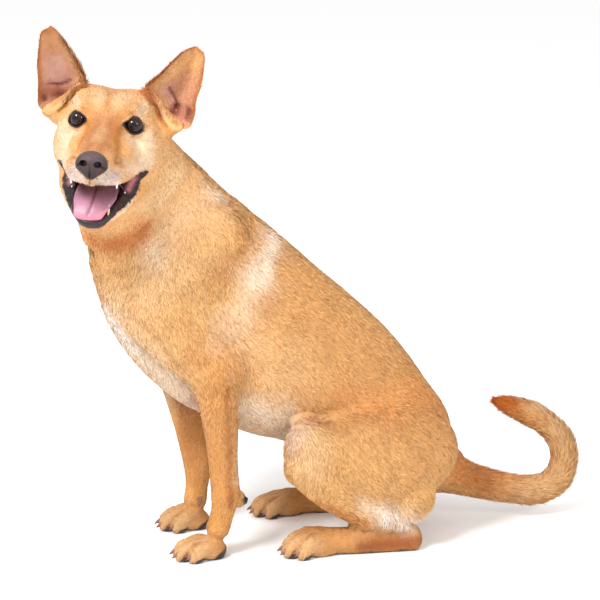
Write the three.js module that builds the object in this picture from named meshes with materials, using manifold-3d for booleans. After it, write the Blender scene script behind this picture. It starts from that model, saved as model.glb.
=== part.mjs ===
// A medium, short-coated dog with pricked ears, sitting upright with its head turned to its left, life size.
//
// The dog faces -X, its left side is -Y and +Z is up. It sits on the floor at z = 0, and its own middle plane
// is y = 0. All lengths are millimetres and all angles degrees.
//
// The flesh is one smooth shape, built from bones' lengths: limbs of elliptical section and rounded masses of
// muscle, blended where they meet. A fine mesh is drawn over each region of it, and flat cuts part the
// regions into head, neck, torso, tail and legs. Ears, eyes, nose, tongue, teeth and claws are pieces of
// their own.

import * as THREE from 'three';
import { MarchingCubes } from 'three/addons/objects/MarchingCubes.js';
import Module from 'manifold-3d';

const wasm = await Module();
wasm.setup();

// ---------------------------------------------------------------- driving dimensions

const GAP = 0.3; // left between two pieces that touch
const LEFT = -1; // the sign of y on the dog's left side
const RIGHT = 1;

const HEAD_AT = [-271.5, -95, 594]; // the point midway between the eyes
const HEAD_YAW = 19.1; // from straight to the dog's left, back towards where the body faces
const HEAD_PITCH = 5.9; // nose down
const HEAD_ROLL = 6.4; // leaning towards the dog's left

const EYE_SPACING = 71; // between the middles of the two eyes
const EYEBALL_RADIUS = 10.8;
const NOSE_HALF = [13, 20, 17]; // half of its depth, width and height
const EAR_THICKNESS = 3;

// From the middle plane to the middle of a fore and a hind paw.
const FORE_STANCE = { [LEFT]: 53, [RIGHT]: 68 };
const HIND_STANCE = { [LEFT]: 78, [RIGHT]: 92 };
const HEEL_STANCE = { [LEFT]: 95, [RIGHT]: 81 };
const FORE_PAW_X = { [LEFT]: -149, [RIGHT]: -145 };
const HIND_PAW_X = -8;
const PAW_TURN_OUT = 2;

const COLOURS = {
  coat: '#d99a55',
  nose: '#4d4242',
  eye: '#2a1a12',
  tongue: '#c97a86',
  claw: '#7a4a35',
};

// ---------------------------------------------------------------- smooth shapes

const vector = (x, y, z) => new THREE.Vector3(x, y, z);
const radians = THREE.MathUtils.degToRad;

// The nearer of two surfaces, rounded where they come within `reach` of each other.
function blend(a, b, reach) {
  const near = Math.max(reach - Math.abs(a - b), 0) / reach;
  return Math.min(a, b) - (near * near * reach) / 4;
}

// How far a point is outside an ellipsoid, given by its offsets and half sizes along the three axes.
function outsideEllipsoid(x, y, z, a, b, c) {
  const scaled = Math.hypot(x / a, y / b, z / c);
  const slope = Math.hypot(x / (a * a), y / (b * b), z / (c * c));
  return slope > 1e-9 ? (scaled * (scaled - 1)) / slope : -Math.min(a, b, c);
}

// A limb: a smooth line of stations [x, y, z, halfWidth, halfDepth], with an elliptical section. halfWidth is
// measured along `side`, and halfDepth across both it and the limb.
class Limb {
  constructor(stations, side = vector(0, 1, 0), stepsPerStation = 3) {
    const middles = stations.map((s) => vector(s[0], s[1], s[2]));
    const places = new THREE.CatmullRomCurve3(middles, false, 'centripetal');
    const sizes = new THREE.CatmullRomCurve3(stations.map((s) => vector(s[3], s[4], 0)), false, 'catmullrom');
    const spans = (stations.length - 1) * stepsPerStation;
    this.parts = [];
    this.centre = vector(0, 0, 0);
    let from = places.getPoint(0);
    let fromSize = sizes.getPoint(0);
    const ends = [from];
    for (let i = 1; i <= spans; i++) {
      const to = places.getPoint(i / spans);
      const toSize = sizes.getPoint(i / spans);
      const along = to.clone().sub(from);
      const length = along.length();
      const axis = along.clone().divideScalar(length);
      const across = side.clone().addScaledVector(axis, -side.dot(axis)).normalize();
      const deep = axis.clone().cross(across);
      this.parts.push({ from, axis, length, across, deep, fromSize, toSize });
      ends.push(to);
      from = to;
      fromSize = toSize;
    }
    const box = new THREE.Box3().setFromPoints(ends);
    box.getCenter(this.centre);
    const widest = Math.max(...stations.map((s) => Math.max(s[3], s[4])));
    this.radius = box.getSize(vector(0, 0, 0)).length() / 2 + widest;
  }

  distance(x, y, z) {
    let nearest = Infinity;
    for (const part of this.parts) {
      const dx = x - part.from.x;
      const dy = y - part.from.y;
      const dz = z - part.from.z;
      const along = dx * part.axis.x + dy * part.axis.y + dz * part.axis.z;
      const share = Math.min(Math.max(along / part.length, 0), 1);
      const width = part.fromSize.x + (part.toSize.x - part.fromSize.x) * share;
      const depth = part.fromSize.y + (part.toSize.y - part.fromSize.y) * share;
      const past = along - share * part.length;
      const aside = dx * part.across.x + dy * part.across.y + dz * part.across.z;
      const deep = dx * part.deep.x + dy * part.deep.y + dz * part.deep.z;
      const here = outsideEllipsoid(aside, deep, past, width, depth, Math.min(width, depth));
      nearest = Math.min(nearest, here);
    }
    return nearest;
  }
}

// A rounded mass: an ellipsoid at [x, y, z] with half sizes [a, b, c], tilted in the x-z plane.
class Mass {
  constructor(at, halfSizes, tilt = 0) {
    this.centre = vector(...at);
    this.half = halfSizes;
    this.radius = Math.max(...halfSizes);
    this.cos = Math.cos(radians(tilt));
    this.sin = Math.sin(radians(tilt));
  }

  distance(x, y, z) {
    const dx = x - this.centre.x;
    const dy = y - this.centre.y;
    const dz = z - this.centre.z;
    const along = dx * this.cos + dz * this.sin;
    const up = dz * this.cos - dx * this.sin;
    return outsideEllipsoid(along, dy, up, ...this.half);
  }
}

// Forms added one after the other, each blended over its own reach, or carved away, in a frame of their own.
class Flesh {
  constructor(frame = new THREE.Matrix4()) {
    this.toOwn = frame.clone().invert();
    this.layers = [];
  }

  add(reach, ...forms) {
    for (const form of forms) this.layers.push({ form, reach, sign: 1 });
    return this;
  }

  carve(reach, ...forms) {
    for (const form of forms) this.layers.push({ form, reach, sign: -1 });
    return this;
  }

  distance(x, y, z) {
    const m = this.toOwn.elements;
    const px = m[0] * x + m[4] * y + m[8] * z + m[12];
    const py = m[1] * x + m[5] * y + m[9] * z + m[13];
    const pz = m[2] * x + m[6] * y + m[10] * z + m[14];
    let value = 1e3;
    for (const { form, reach, sign } of this.layers) {
      const away = Math.hypot(px - form.centre.x, py - form.centre.y, pz - form.centre.z) - form.radius;
      if (away > Math.max(sign * value, 0) + reach) continue;
      const here = form.distance(px, py, pz);
      value = sign > 0 ? blend(value, here, reach) : -blend(-value, here, reach);
    }
    return value;
  }
}

// ---------------------------------------------------------------- meshes and solids

// Merges the corners of loose triangles that share a place, counted in steps of `grain`. Corners on a grid of
// whole units differ by rounding only, so the steps are set off from them.
function welded(corners, grain) {
  const known = new Map();
  const points = [];
  const order = [];
  for (let i = 0; i < corners.length; i += 3) {
    const at = [corners[i], corners[i + 1], corners[i + 2]];
    const key = at.map((value) => Math.round(value / grain + 0.27)).join();
    if (!known.has(key)) {
      known.set(key, points.length / 3);
      points.push(...at);
    }
    order.push(known.get(key));
  }
  const faces = [];
  for (let i = 0; i < order.length; i += 3) {
    const [a, b, c] = order.slice(i, i + 3);
    if (a !== b && b !== c && c !== a) faces.push(a, b, c);
  }
  return { points, faces };
}

function solidFrom({ points, faces }) {
  const mesh = new wasm.Mesh({
    numProp: 3,
    vertProperties: new Float32Array(points),
    triVerts: new Uint32Array(faces),
  });
  const solid = new wasm.Manifold(mesh);
  if (solid.volume() > 0) return solid;
  return solidFrom({ points, faces: faces.toReversed() });
}

// Reads a three.js geometry as a solid.
function solidOf(geometry) {
  const loose = geometry.index ? geometry.toNonIndexed() : geometry;
  return solidFrom(welded(loose.getAttribute('position').array, 1e-3));
}

// The largest closed surface of a solid, without loose scraps and sealed hollows.
function largest(solid) {
  const pieces = solid.decompose();
  return pieces.reduce((best, piece) => (piece.volume() > best.volume() ? piece : best));
}

function geometryOf(solid) {
  const mesh = solid.getMesh();
  const geometry = new THREE.BufferGeometry();
  geometry.setAttribute('position', new THREE.BufferAttribute(mesh.vertProperties, 3));
  geometry.setIndex(new THREE.BufferAttribute(mesh.triVerts, 1));
  geometry.computeVertexNormals();
  return geometry;
}

// A box as a solid, with its middle at `at`, turned by an Euler or quaternion where one is given.
function boxSolid(at, size, turn = new THREE.Quaternion()) {
  const geometry = new THREE.BoxGeometry(...size);
  geometry.applyQuaternion(turn);
  geometry.translate(...at);
  return solidOf(geometry);
}

// The half of space on the far side of a plane, near enough for the dog: a big box that starts at `at` and
// goes on along `towards`.
function beyond(at, towards, gap = 0) {
  const reach = 900;
  const direction = vector(...towards).normalize();
  const turn = new THREE.Quaternion().setFromUnitVectors(vector(0, 0, 1), direction);
  const middle = vector(...at).addScaledVector(direction, reach / 2 + gap);
  return boxSolid(middle.toArray(), [reach, reach, reach], turn);
}

// Draws the surface of `distance` inside a box of the given frame as a closed mesh, with cells of one size.
// The vertices are then moved onto the surface itself.
function skinned(distance, low, high, cell, frame = new THREE.Matrix4()) {
  const spans = high.map((value, axis) => (value - low[axis]) / cell);
  const count = Math.ceil(Math.max(...spans)) + 6;
  const cubes = new MarchingCubes(count, new THREE.MeshStandardMaterial(), false, false, 60000);
  cubes.isolation = 0;
  const at = vector(0, 0, 0);
  const toWorld = (i, j, k) => {
    at.set(low[0] + (i - 2) * cell, low[1] + (j - 2) * cell, low[2] + (k - 2) * cell);
    return at.applyMatrix4(frame);
  };
  const clear = 0.12; // in cells: keeps the mesh's corners off the grid's own
  let slot = 0;
  for (let k = 0; k < count; k++) {
    for (let j = 0; j < count; j++) {
      for (let i = 0; i < count; i++) {
        const inside = i > 1 && j > 1 && k > 1 && i <= spans[0] + 2 && j <= spans[1] + 2 && k <= spans[2] + 2;
        let value = -1;
        if (inside) {
          toWorld(i, j, k);
          value = THREE.MathUtils.clamp(-distance(at.x, at.y, at.z) / cell, -1, 1);
          if (Math.abs(value) < clear) value = value < 0 ? -clear : clear;
        }
        cubes.field[slot++] = value;
      }
    }
  }
  cubes.update();
  const grid = Array.from(cubes.positionArray.subarray(0, cubes.count * 3), (v) => ((v + 1) * count) / 2);
  const mesh = welded(grid, 1e-3);
  for (let i = 0; i < mesh.points.length; i += 3) {
    toWorld(...mesh.points.slice(i, i + 3));
    settle(at, distance, cell);
    at.toArray(mesh.points, i);
  }
  return solidFrom(mesh);
}

// Moves a point along the slope of `distance` until it lies on the surface.
function settle(at, distance, cell) {
  const step = 0.2;
  for (let round = 0; round < 3; round++) {
    const value = distance(at.x, at.y, at.z);
    if (Math.abs(value) > cell / 2) return;
    const slope = vector(
      distance(at.x + step, at.y, at.z) - distance(at.x - step, at.y, at.z),
      distance(at.x, at.y + step, at.z) - distance(at.x, at.y - step, at.z),
      distance(at.x, at.y, at.z + step) - distance(at.x, at.y, at.z - step),
    ).divideScalar(2 * step);
    const steep = Math.max(slope.lengthSq(), 0.3);
    at.addScaledVector(slope, -value / steep);
  }
}

// ---------------------------------------------------------------- frames

// The head's frame: x forward out of the nose, y to the dog's left, z up out of the skull.
function headFrame() {
  const yaw = radians(HEAD_YAW);
  const pitch = radians(HEAD_PITCH);
  const forward = vector(
    -Math.sin(yaw) * Math.cos(pitch),
    -Math.cos(yaw) * Math.cos(pitch),
    -Math.sin(pitch),
  );
  const left = vector(0, 0, 1).cross(forward).normalize();
  const up = forward.clone().cross(left);
  const frame = new THREE.Matrix4().makeBasis(forward, left, up);
  frame.multiply(new THREE.Matrix4().makeRotationX(radians(-HEAD_ROLL)));
  frame.setPosition(...HEAD_AT);
  return frame;
}

const HEAD = headFrame();

const inHead = (x, y, z) => vector(x, y, z).applyMatrix4(HEAD);

// ---------------------------------------------------------------- the flesh of the body

// The near and far forelegs carry the chest a little askew, so the far one leans forward as it rises.
const forelegLean = (side, z) => (side === RIGHT ? -0.11 * z : 0);

// How much further out a foreleg stands at a height than straight below its elbow.
const forelegSpread = (side, z) => (FORE_STANCE[side] - 60) * Math.max(1 - z / 160, 0);

// Chest, barrel, loin and rump, from the root of the neck to the root of the tail.
const trunk = new Limb([
  [-190, -4, 440, 66, 82],
  [-159, 0, 381, 76, 120],
  [-93, 0, 309, 85, 130],
  [-21, 0, 264, 86, 116],
  [47, 0, 216, 82, 104],
  [96, 0, 173, 79, 91],
  [138, 0, 136, 74, 71],
  [160, 0, 105, 64, 60],
]);

const neckLine = new Limb([
  [-241, -43, 567, 47, 40],
  [-229, -27, 532, 61, 59],
  [-206, -9, 484, 65, 77],
  [-186, -3, 435, 68, 92],
]);

function shoulder(side) {
  return [
    new Limb([
      [-118, side * 44, 452, 18, 30],
      [-168, side * 60, 392, 26, 42],
      [-212, side * 62, 338, 26, 36],
    ]),
    new Limb([
      [-212, side * 62, 338, 26, 36],
      [-168, side * 72, 300, 26, 42],
      [-132 + forelegLean(side, 262), side * 75, 262, 23, 36],
    ]),
  ];
}

// From the elbow down to the wrist and the pastern above the paw.
function foreleg(side) {
  const at = (x, y, z, width, depth) => [
    x + forelegLean(side, z),
    side * (y + forelegSpread(side, z)),
    z,
    width,
    depth,
  ];
  return new Limb([
    at(-134, 75, 276, 24, 36),
    at(-129, 73, 230, 21, 29),
    at(-124, 70, 190, 19, 25.5),
    at(-121, 66, 150, 16.5, 22),
    at(-118, 64, 112, 15, 20.5),
    at(-116, 63, 88, 16.5, 20.5),
    at(-120, 63, 62, 16, 17),
    at(-125, 60, 42, 18, 17),
  ]);
}

// The far knee lies further back than the near one, over a foot that is level with the near foot.
const kneeBack = (side) => (side === RIGHT ? 40 : 0);

function hindquarter(side) {
  const back = kneeBack(side);
  const heel = side * HEEL_STANCE[side];
  const ball = side * HIND_STANCE[side];
  return {
    thigh: new Mass([90 + back * 0.3, side * 76, 128], [112 - back * 0.3, 48, 76], 4),
    knee: new Mass([-5 + back, side * 92, 143], [40, 30, 49], 20),
    hip: new Mass([142, side * 42, 160], [58, 42, 50], -40),
    shank: new Limb([
      [-22 + back, side * 96, 128, 24, 26],
      [20 + back * 0.7, side * 97, 92, 23, 28],
      [70 + back * 0.3, side * 95, 55, 19, 22],
      [112, side * 91, 33, 14, 16],
      [133, side * 89, 20, 12, 14],
    ]),
    // The long hair of the back of the thigh, which hangs over the heel.
    fringe: new Mass([136, side * 92, 70], [31, 24, 27], 32),
    // The long foot from the heel to the roots of the toes, flat on the floor.
    foot: new Limb([
      [134, heel, 14, 13, 16],
      [95, heel * 0.96, 16, 14, 18],
      [50, (heel + ball) / 2, 18, 16, 19],
      [12, ball, 19, 20, 18],
    ]),
  };
}

// A paw seen in its own frame: x forwards, y to one side, z up from the floor. Toes are listed from one side
// to the other as how far each reaches forward and aside.
const PAW_TOES = [
  { forward: 9, aside: -18.5, turn: -8 },
  { forward: 24, aside: -7, turn: -2 },
  { forward: 24, aside: 7, turn: 2 },
  { forward: 9, aside: 18.5, turn: 8 },
];

function pawFrame(at, side) {
  const frame = new THREE.Matrix4().makeRotationZ(radians(180 + side * -PAW_TURN_OUT));
  return frame.setPosition(at[0], at[1], 0);
}

function paw(frame, rise) {
  const palm = new Mass([-8, 0, 14], [26, 22, 15]);
  const pad = new Mass([-18, 0, 6], [15, 16, 11]);
  const flesh = new Flesh(frame).add(10, palm, pad);
  for (const { forward, aside, turn } of PAW_TOES) {
    const bend = Math.tan(radians(turn));
    const toe = new Limb([
      [-14, aside * 0.6, rise, 8.5, 8.5],
      [forward - 12, aside * 0.93, rise + 1, 8.8, 9.5],
      [forward - 1, aside + bend * 6, 14, 8.8, 11],
      [forward + 5, aside + bend * 12, 8, 7.5, 7.5],
    ]);
    flesh.add(3, toe);
  }
  return flesh;
}

const TAIL = [
  [196, 0, 84, 32, 38],
  [232, -2, 64, 24, 28.5],
  [268, -5, 52, 20, 24],
  [305, -8, 43, 19, 22.5],
  [341, -10, 39, 19, 23],
  [370, -10, 51, 19, 23],
  [382, -8, 79, 19, 22],
  [378, -4, 106, 18, 21],
  [361, 0, 128, 17, 19.5],
  [339, 4, 144, 16, 20],
  [315, 8, 154.5, 14, 17],
  [293, 11, 163.5, 9, 11],
];

// ---------------------------------------------------------------- the flesh of the head

const headForms = new Flesh(HEAD);

function bothSides(make) {
  return [make(1), make(-1)];
}

headForms.add(
  16,
  new Mass([-46, 0, -6], [58, 46, 35]), // skull
  ...bothSides((s) => new Mass([-35, s * 42, -42], [38, 26.5, 37])), // cheek muscle
  ...bothSides((s) => new Mass([-54, s * 28, 6], [34, 24, 24])), // temple
  ...bothSides((s) => new Mass([-74, s * 60, -18], [20, 21, 15])), // root of the ear
  new Mass([-22, 0, 4], [28, 27, 20]), // forehead
  new Limb([
    [-4, 0, -19, 30, 24],
    [30, 0, -22, 27, 21],
    [62, 0, -25, 24, 18],
    [84, 0, -27, 20, 16],
  ]), // bridge and sides of the muzzle
);
headForms.add(
  9,
  ...bothSides((s) => new Mass([-18, s * 25, 14], [15, 15, 9])), // brow
  ...bothSides((s) => new Mass([-32, s * 48, -14], [28, 14, 13])), // cheekbone
  ...bothSides((s) => new Mass([14, s * 28, -28], [28, 14, 15])), // below the eye
);
headForms.add(
  10,
  new Limb([
    [-44, 0, -72, 59, 34],
    [-8, 0, -86, 54, 25],
    [24, 0, -99, 39, 18],
    [45, 0, -106, 25, 15],
    [54, 0, -108, 19, 13],
  ]), // lower jaw and chin
);
headForms.add(
  16,
  new Limb([
    [-22, 0, -100, 45, 26],
    [-38, 6, -128, 42, 28],
    [-50, 14, -155, 44, 30],
  ]), // throat
);
for (const side of [1, -1]) {
  headForms.add(
    7,
    new Limb([
      [-6, side * 44, -54, 8, 14],
      [26, side * 36, -49, 8, 14],
      [56, side * 28, -46, 8, 14],
      [78, side * 16, -44, 8, 12],
      [90, side * 3, -43, 8, 11],
    ]), // upper lip
  );
}
headForms.carve(9, ...bothSides((s) => new Mass([10, s * 37, 0], [15, 13, 10]))); // in front of the eye
for (const side of [1, -1]) {
  headForms.add(
    14,
    new Limb([
      [-56, side * 42, 20, 9, 9],
      [-60, side * 58, 4, 10, 10],
      [-64, side * 72, -8, 10, 10],
      [-64, side * 84, -12, 7, 7],
    ]), // below the open side of the ear
  );
}

// The open mouth: a wedge with its edge at the corners of the mouth, wide enough to part both cheeks.
headForms.carve(
  3,
  new Limb([
    [2, 0, -64, 75, 2],
    [30, 0, -71, 75, 12],
    [60, 0, -81, 75, 22],
    [95, 0, -87, 75, 33],
    [130, 0, -94, 75, 44],
  ]),
  new Limb([
    [-14, 0, -62, 20, 5],
    [20, 0, -62, 25, 10],
    [55, 0, -59, 20, 12],
    [78, 0, -55, 12, 9],
  ]), // under the palate
  new Limb([
    [-14, 0, -72, 22, 6],
    [15, 0, -83, 29, 9],
    [38, 0, -93, 21, 9],
    [48, 0, -99, 14, 7],
  ]), // the floor of the mouth
);

// ---------------------------------------------------------------- all the flesh together

const quarters = { [LEFT]: hindquarter(LEFT), [RIGHT]: hindquarter(RIGHT) };
const tail = new Limb(TAIL);
const belly = new Mass([-50, 0, 210], [60, 52, 58]);
const body = new Flesh().add(40, trunk, neckLine).add(24, belly);
for (const side of [LEFT, RIGHT]) {
  body.add(28, ...shoulder(side));
  body.add(14, foreleg(side));
  const padAside = side * (62 + forelegSpread(side, 80));
  body.add(4, new Mass([-95, padAside, 80], [10, 7, 13])); // the pad behind the wrist
  body.add(30, quarters[side].hip);
  body.add(16, quarters[side].thigh);
  body.add(18, quarters[side].knee);
  body.add(6, quarters[side].shank);
  body.add(10, quarters[side].fringe);
  body.add(5, quarters[side].foot);
}
body.add(24, tail);

const forePaws = {};
const hindPaws = {};
for (const side of [LEFT, RIGHT]) {
  forePaws[side] = pawFrame([FORE_PAW_X[side], side * FORE_STANCE[side]], side);
  hindPaws[side] = pawFrame([HIND_PAW_X, side * HIND_STANCE[side]], side);
}
const paws = [
  paw(forePaws[LEFT], 18),
  paw(forePaws[RIGHT], 21),
  paw(hindPaws[LEFT], 24),
  paw(hindPaws[RIGHT], 20),
];

const JOIN_REACH = 12; // how far the head and the paws blend into the body
const PAWS_BELOW = 90; // no paw reaches higher

function fleshDistance(x, y, z) {
  let value = blend(body.distance(x, y, z), headForms.distance(x, y, z), JOIN_REACH);
  if (z < PAWS_BELOW) {
    for (const one of paws) value = blend(value, one.distance(x, y, z), JOIN_REACH);
  }
  return value;
}

// ---------------------------------------------------------------- where the flesh is parted

// A flat cut through the flesh. before() is the side that `towards` points away from, after() the other one,
// and each keeps half the gap to it.
class Cut {
  constructor(at, towards) {
    this.at = at.isVector3 ? at.toArray() : at;
    this.towards = towards.isVector3 ? towards : vector(...towards);
  }

  after() {
    return beyond(this.at, this.towards.toArray(), GAP / 2);
  }

  before() {
    return beyond(this.at, this.towards.clone().negate().toArray(), GAP / 2);
  }
}

const alongHead = (x, y, z) => vector(x, y, z).transformDirection(HEAD);
const headCut = new Cut(inHead(-62, 0, -36), alongHead(-145, 0, -92));
const jawCut = new Cut(inHead(3, 0, -66), alongHead(-22, 0, -62));
const neckCut = new Cut([-196, 0, 446], [-0.42, -0.08, 0.9]);
const tailCut = new Cut([224, 0, 66], [0.86, 0, -0.5]);
const wristCut = new Cut([0, 0, 54], [0, 0, -1]);
const creaseCut = new Cut([0, 0, 96], [-0.44, 0, -0.9]);
const ankleCut = new Cut([95, 0, 35], [-0.09, 0, -1]);
const toeCut = new Cut([26, 0, 0], [-1, 0, 0]);
const floorCut = new Cut([0, 0, -GAP / 2], [0, 0, 1]);

// Boxes that hold a foreleg and a hind leg, one side at a time. `grow` widens them for what is left outside.
function foreBox(side, grow) {
  const inner = 47 - grow;
  const depth = 80;
  const size = [118 + 2 * grow, depth, 300 + grow];
  return boxSolid([-147 + forelegLean(side, 130), side * (inner + depth / 2), 258 - 150 + grow / 2], size);
}

function hindBox(side, grow) {
  const inner = 57 - grow;
  const depth = 100;
  const turn = new THREE.Quaternion().setFromEuler(new THREE.Euler(0, radians(4), 0));
  const size = [330 + 2 * grow, depth, 260 + 2 * grow];
  return boxSolid([88, side * (inner + depth / 2), 72], size, turn);
}

// ---------------------------------------------------------------- assembly

const dog = new THREE.Group();

function addNode(name, solid, colour, roughness = 0.9) {
  const material = new THREE.MeshStandardMaterial({ color: colour, roughness, metalness: 0 });
  const mesh = new THREE.Mesh(geometryOf(largest(solid)), material);
  mesh.name = name;
  dog.add(mesh);
}

const sideName = (side) => (side === LEFT ? 'left' : 'right');
const grownDistance = (x, y, z) => fleshDistance(x, y, z) - GAP;

// ---- head, jaw and neck

const HEAD_LOW = [-126, -90, -142];
const HEAD_HIGH = [112, 90, 52];
const HEAD_CELL = 8.3;
const headSkin = skinned(fleshDistance, HEAD_LOW, HEAD_HIGH, HEAD_CELL, HEAD);
const headGrown = skinned(grownDistance, HEAD_LOW, HEAD_HIGH, HEAD_CELL, HEAD);
const skull = headSkin.intersect(headCut.before());
let head = skull.intersect(jawCut.before());
const jaw = skull.intersect(jawCut.after());

// An eyeball, looking forwards and a little outwards.
function eyeAt(side) {
  return inHead(-6, side * (EYE_SPACING / 2 - 1), 0);
}

function ball(at, radius, widthSegments, heightSegments) {
  const geometry = new THREE.SphereGeometry(radius, widthSegments, heightSegments);
  geometry.applyMatrix4(new THREE.Matrix4().extractRotation(HEAD));
  geometry.translate(...at.toArray());
  return solidOf(geometry);
}

// The rim of the lids: a ring round the eye, wider than high, that follows the eyeball.
function lids(side) {
  const rim = 2.6;
  const halfWidth = 11.5;
  const halfHeight = 8;
  const ring = new THREE.TorusGeometry(1, rim / 10, 5, 14);
  const place = ring.getAttribute('position');
  const at = vector(0, 0, 0);
  for (let i = 0; i < place.count; i++) {
    at.fromBufferAttribute(place, i);
    const round = Math.hypot(at.x, at.y);
    const thick = (round - 1) * 10;
    const across = (at.x / round) * (halfWidth + thick);
    const up = (at.y / round) * (halfHeight + thick);
    const outwards = Math.hypot(across, up);
    const front = Math.sqrt(Math.max(EYEBALL_RADIUS ** 2 - outwards ** 2, 0)) * 0.8;
    at.set(front + at.z * 10 + 0.4, across, up);
    at.applyMatrix4(new THREE.Matrix4().makeRotationZ(radians(side * 12)));
    place.setXYZ(i, at.x, at.y, at.z);
  }
  ring.applyMatrix4(new THREE.Matrix4().extractRotation(HEAD));
  ring.translate(...eyeAt(side).toArray());
  return solidOf(ring);
}

for (const side of [1, -1]) {
  head = head.add(lids(side)).subtract(ball(eyeAt(side), EYEBALL_RADIUS + GAP, 12, 8));
  const eye = ball(eyeAt(side), EYEBALL_RADIUS, 12, 8);
  addNode(side === 1 ? 'eye_left' : 'eye_right', eye, COLOURS.eye, 0.1);
}

// The nose: a rounded pad on the tip of the muzzle, with two nostrils that open to the front and the sides.
const NOSE_AT = [92, 0, -27.5];

function headEllipsoid(at, halfSizes, widthSegments, heightSegments) {
  const geometry = new THREE.SphereGeometry(1, widthSegments, heightSegments);
  geometry.rotateX(Math.PI / 2);
  geometry.scale(...halfSizes);
  geometry.translate(...at);
  geometry.applyMatrix4(HEAD);
  return solidOf(geometry);
}

let nose = headEllipsoid(NOSE_AT, NOSE_HALF, 16, 10);
for (const side of [1, -1]) {
  nose = nose.subtract(headEllipsoid([105, side * 9, -25], [6, 4.6, 4.2], 8, 5));
  nose = nose.subtract(headEllipsoid([99, side * 16, -29], [7, 5.5, 2.2], 8, 5));
}
addNode('nose', nose, COLOURS.nose, 0.5);
head = head.subtract(headEllipsoid(NOSE_AT, NOSE_HALF.map((size) => size + GAP), 16, 10));

// The free edges of each ear's cup, from its lowest point up to its tip: how far each point is forward, aside
// and up in the head's frame. The two ears differ, as the dog turns them.
const EAR_RIMS = {
  [1]: {
    inner: [
      [-50, 77, -16], [-47, 65, -2], [-46, 56, 15], [-50, 39, 32],
      [-55, 58, 57], [-62, 71, 72], [-70, 82, 84], [-77, 93, 90],
    ],
    outer: [
      [-58, 88, -17], [-62, 99, -9], [-64, 103, 7], [-66, 103, 24],
      [-69, 107, 41], [-72, 108, 59], [-75, 108, 76], [-78, 104, 89],
    ],
  },
  [-1]: {
    inner: [
      [-50, 77, -12], [-47, 63, 0], [-46, 55, 11], [-50, 37, 32],
      [-55, 47, 54], [-62, 60, 70], [-70, 75, 86], [-77, 86, 94],
    ],
    outer: [
      [-58, 85, -14], [-62, 95, -5], [-64, 97, 11], [-66, 98, 27],
      [-69, 101, 45], [-72, 101, 62], [-75, 101, 78], [-78, 98, 93],
    ],
  },
};
const EAR_DEPTH = [4, 20, 30, 32, 27, 20, 12, 5]; // how far the cup reaches behind its edges

// An ear: a leaf of skin between its two edges, cupped, that opens forwards and outwards.
function ear(side) {
  const [inner, outer, depth] = [
    EAR_RIMS[side].inner,
    EAR_RIMS[side].outer,
    EAR_DEPTH.map((deep) => [deep, 0, 0]),
  ].map((line) => new THREE.CatmullRomCurve3(line.map((at) => vector(...at)), false, 'catmullrom', 0.5));
  const leaf = new THREE.SphereGeometry(1, 16, 12);
  const place = leaf.getAttribute('position');
  const at = vector(0, 0, 0);
  for (let i = 0; i < place.count; i++) {
    at.fromBufferAttribute(place, i);
    const ring = Math.sqrt(Math.max(1 - at.y * at.y, 0));
    const rise = 0.5 + Math.asin(THREE.MathUtils.clamp(at.y, -1, 1)) / Math.PI;
    const across = ring > 1e-6 ? (at.x / ring) * Math.min(ring * 4, 1) : 0;
    const front = ring > 1e-6 ? at.z / ring : 0;
    const thick = EAR_THICKNESS * (1 - 0.4 * rise) * Math.min(ring * 2.5, 1);
    const low = inner.getPoint(rise);
    const high = outer.getPoint(rise);
    const spread = high.clone().sub(low).multiplyScalar(0.5);
    const back = vector(-0.93, -0.1, -0.05).addScaledVector(spread, -0.3 / spread.length()).normalize();
    const behind = depth.getPoint(rise).x * (1 - Math.abs(across) ** 2.4) - front * thick * 0.5;
    const spot = low.add(spread).addScaledVector(spread, across).addScaledVector(back, behind);
    place.setXYZ(i, spot.x, side * spot.y, spot.z);
  }
  if (side === 1) leaf.index.array.reverse();
  leaf.applyMatrix4(HEAD);
  return solidOf(leaf).subtract(headGrown);
}

for (const side of [1, -1]) addNode(side === 1 ? 'ear_left' : 'ear_right', ear(side), COLOURS.coat);

// The tongue lies on the floor of the mouth and over the front teeth.
const tongueForm = new Flesh(HEAD).add(
  4,
  new Limb([
    [-8, 0, -74, 20, 6.5],
    [20, 0, -81, 26, 7.5],
    [40, -1, -88, 24, 7.5],
    [51, 0, -94, 20, 7],
    [58, 1, -101, 16, 6.5],
    [62, 3, -107, 10, 5.5],
  ]),
);
const tongueDistance = (x, y, z) => tongueForm.distance(x, y, z);
const tongueSkin = skinned(tongueDistance, [-40, -40, -122], [82, 40, -50], 8, HEAD);

const upperTeeth = [
  { at: [66, 26, -50], length: 14, root: 4 },
  { at: [46, 26, -56], length: 8, root: 3.5 },
  { at: [32, 30, -57], length: 8, root: 3.5 },
];
const lowerTeeth = [
  { at: [50, 21, -99], length: 11, root: 3.6 },
  { at: [32, 24, -93], length: 7, root: 3.2 },
  { at: [19, 30, -88], length: 8, root: 3.4 },
];

// A tooth: a cone with a rounded end, from a root sunk in the jaw, made larger all round by `grow`.
function tooth({ at, length, root }, side, up, grow = 0) {
  const tip = length + grow;
  const wide = root + grow;
  const profile = new THREE.QuadraticBezierCurve(
    new THREE.Vector2(wide, 0),
    new THREE.Vector2(wide * 0.8, tip * 0.7),
    new THREE.Vector2(0, tip),
  );
  const sunk = 4 + grow;
  const outline = [new THREE.Vector2(0, -sunk), new THREE.Vector2(wide, -sunk), ...profile.getPoints(2)];
  const cone = new THREE.LatheGeometry(outline, 5);
  cone.rotateX(up ? Math.PI / 2 : -Math.PI / 2);
  cone.translate(at[0], side * at[1], at[2]);
  cone.applyMatrix4(HEAD);
  return solidOf(cone);
}

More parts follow.
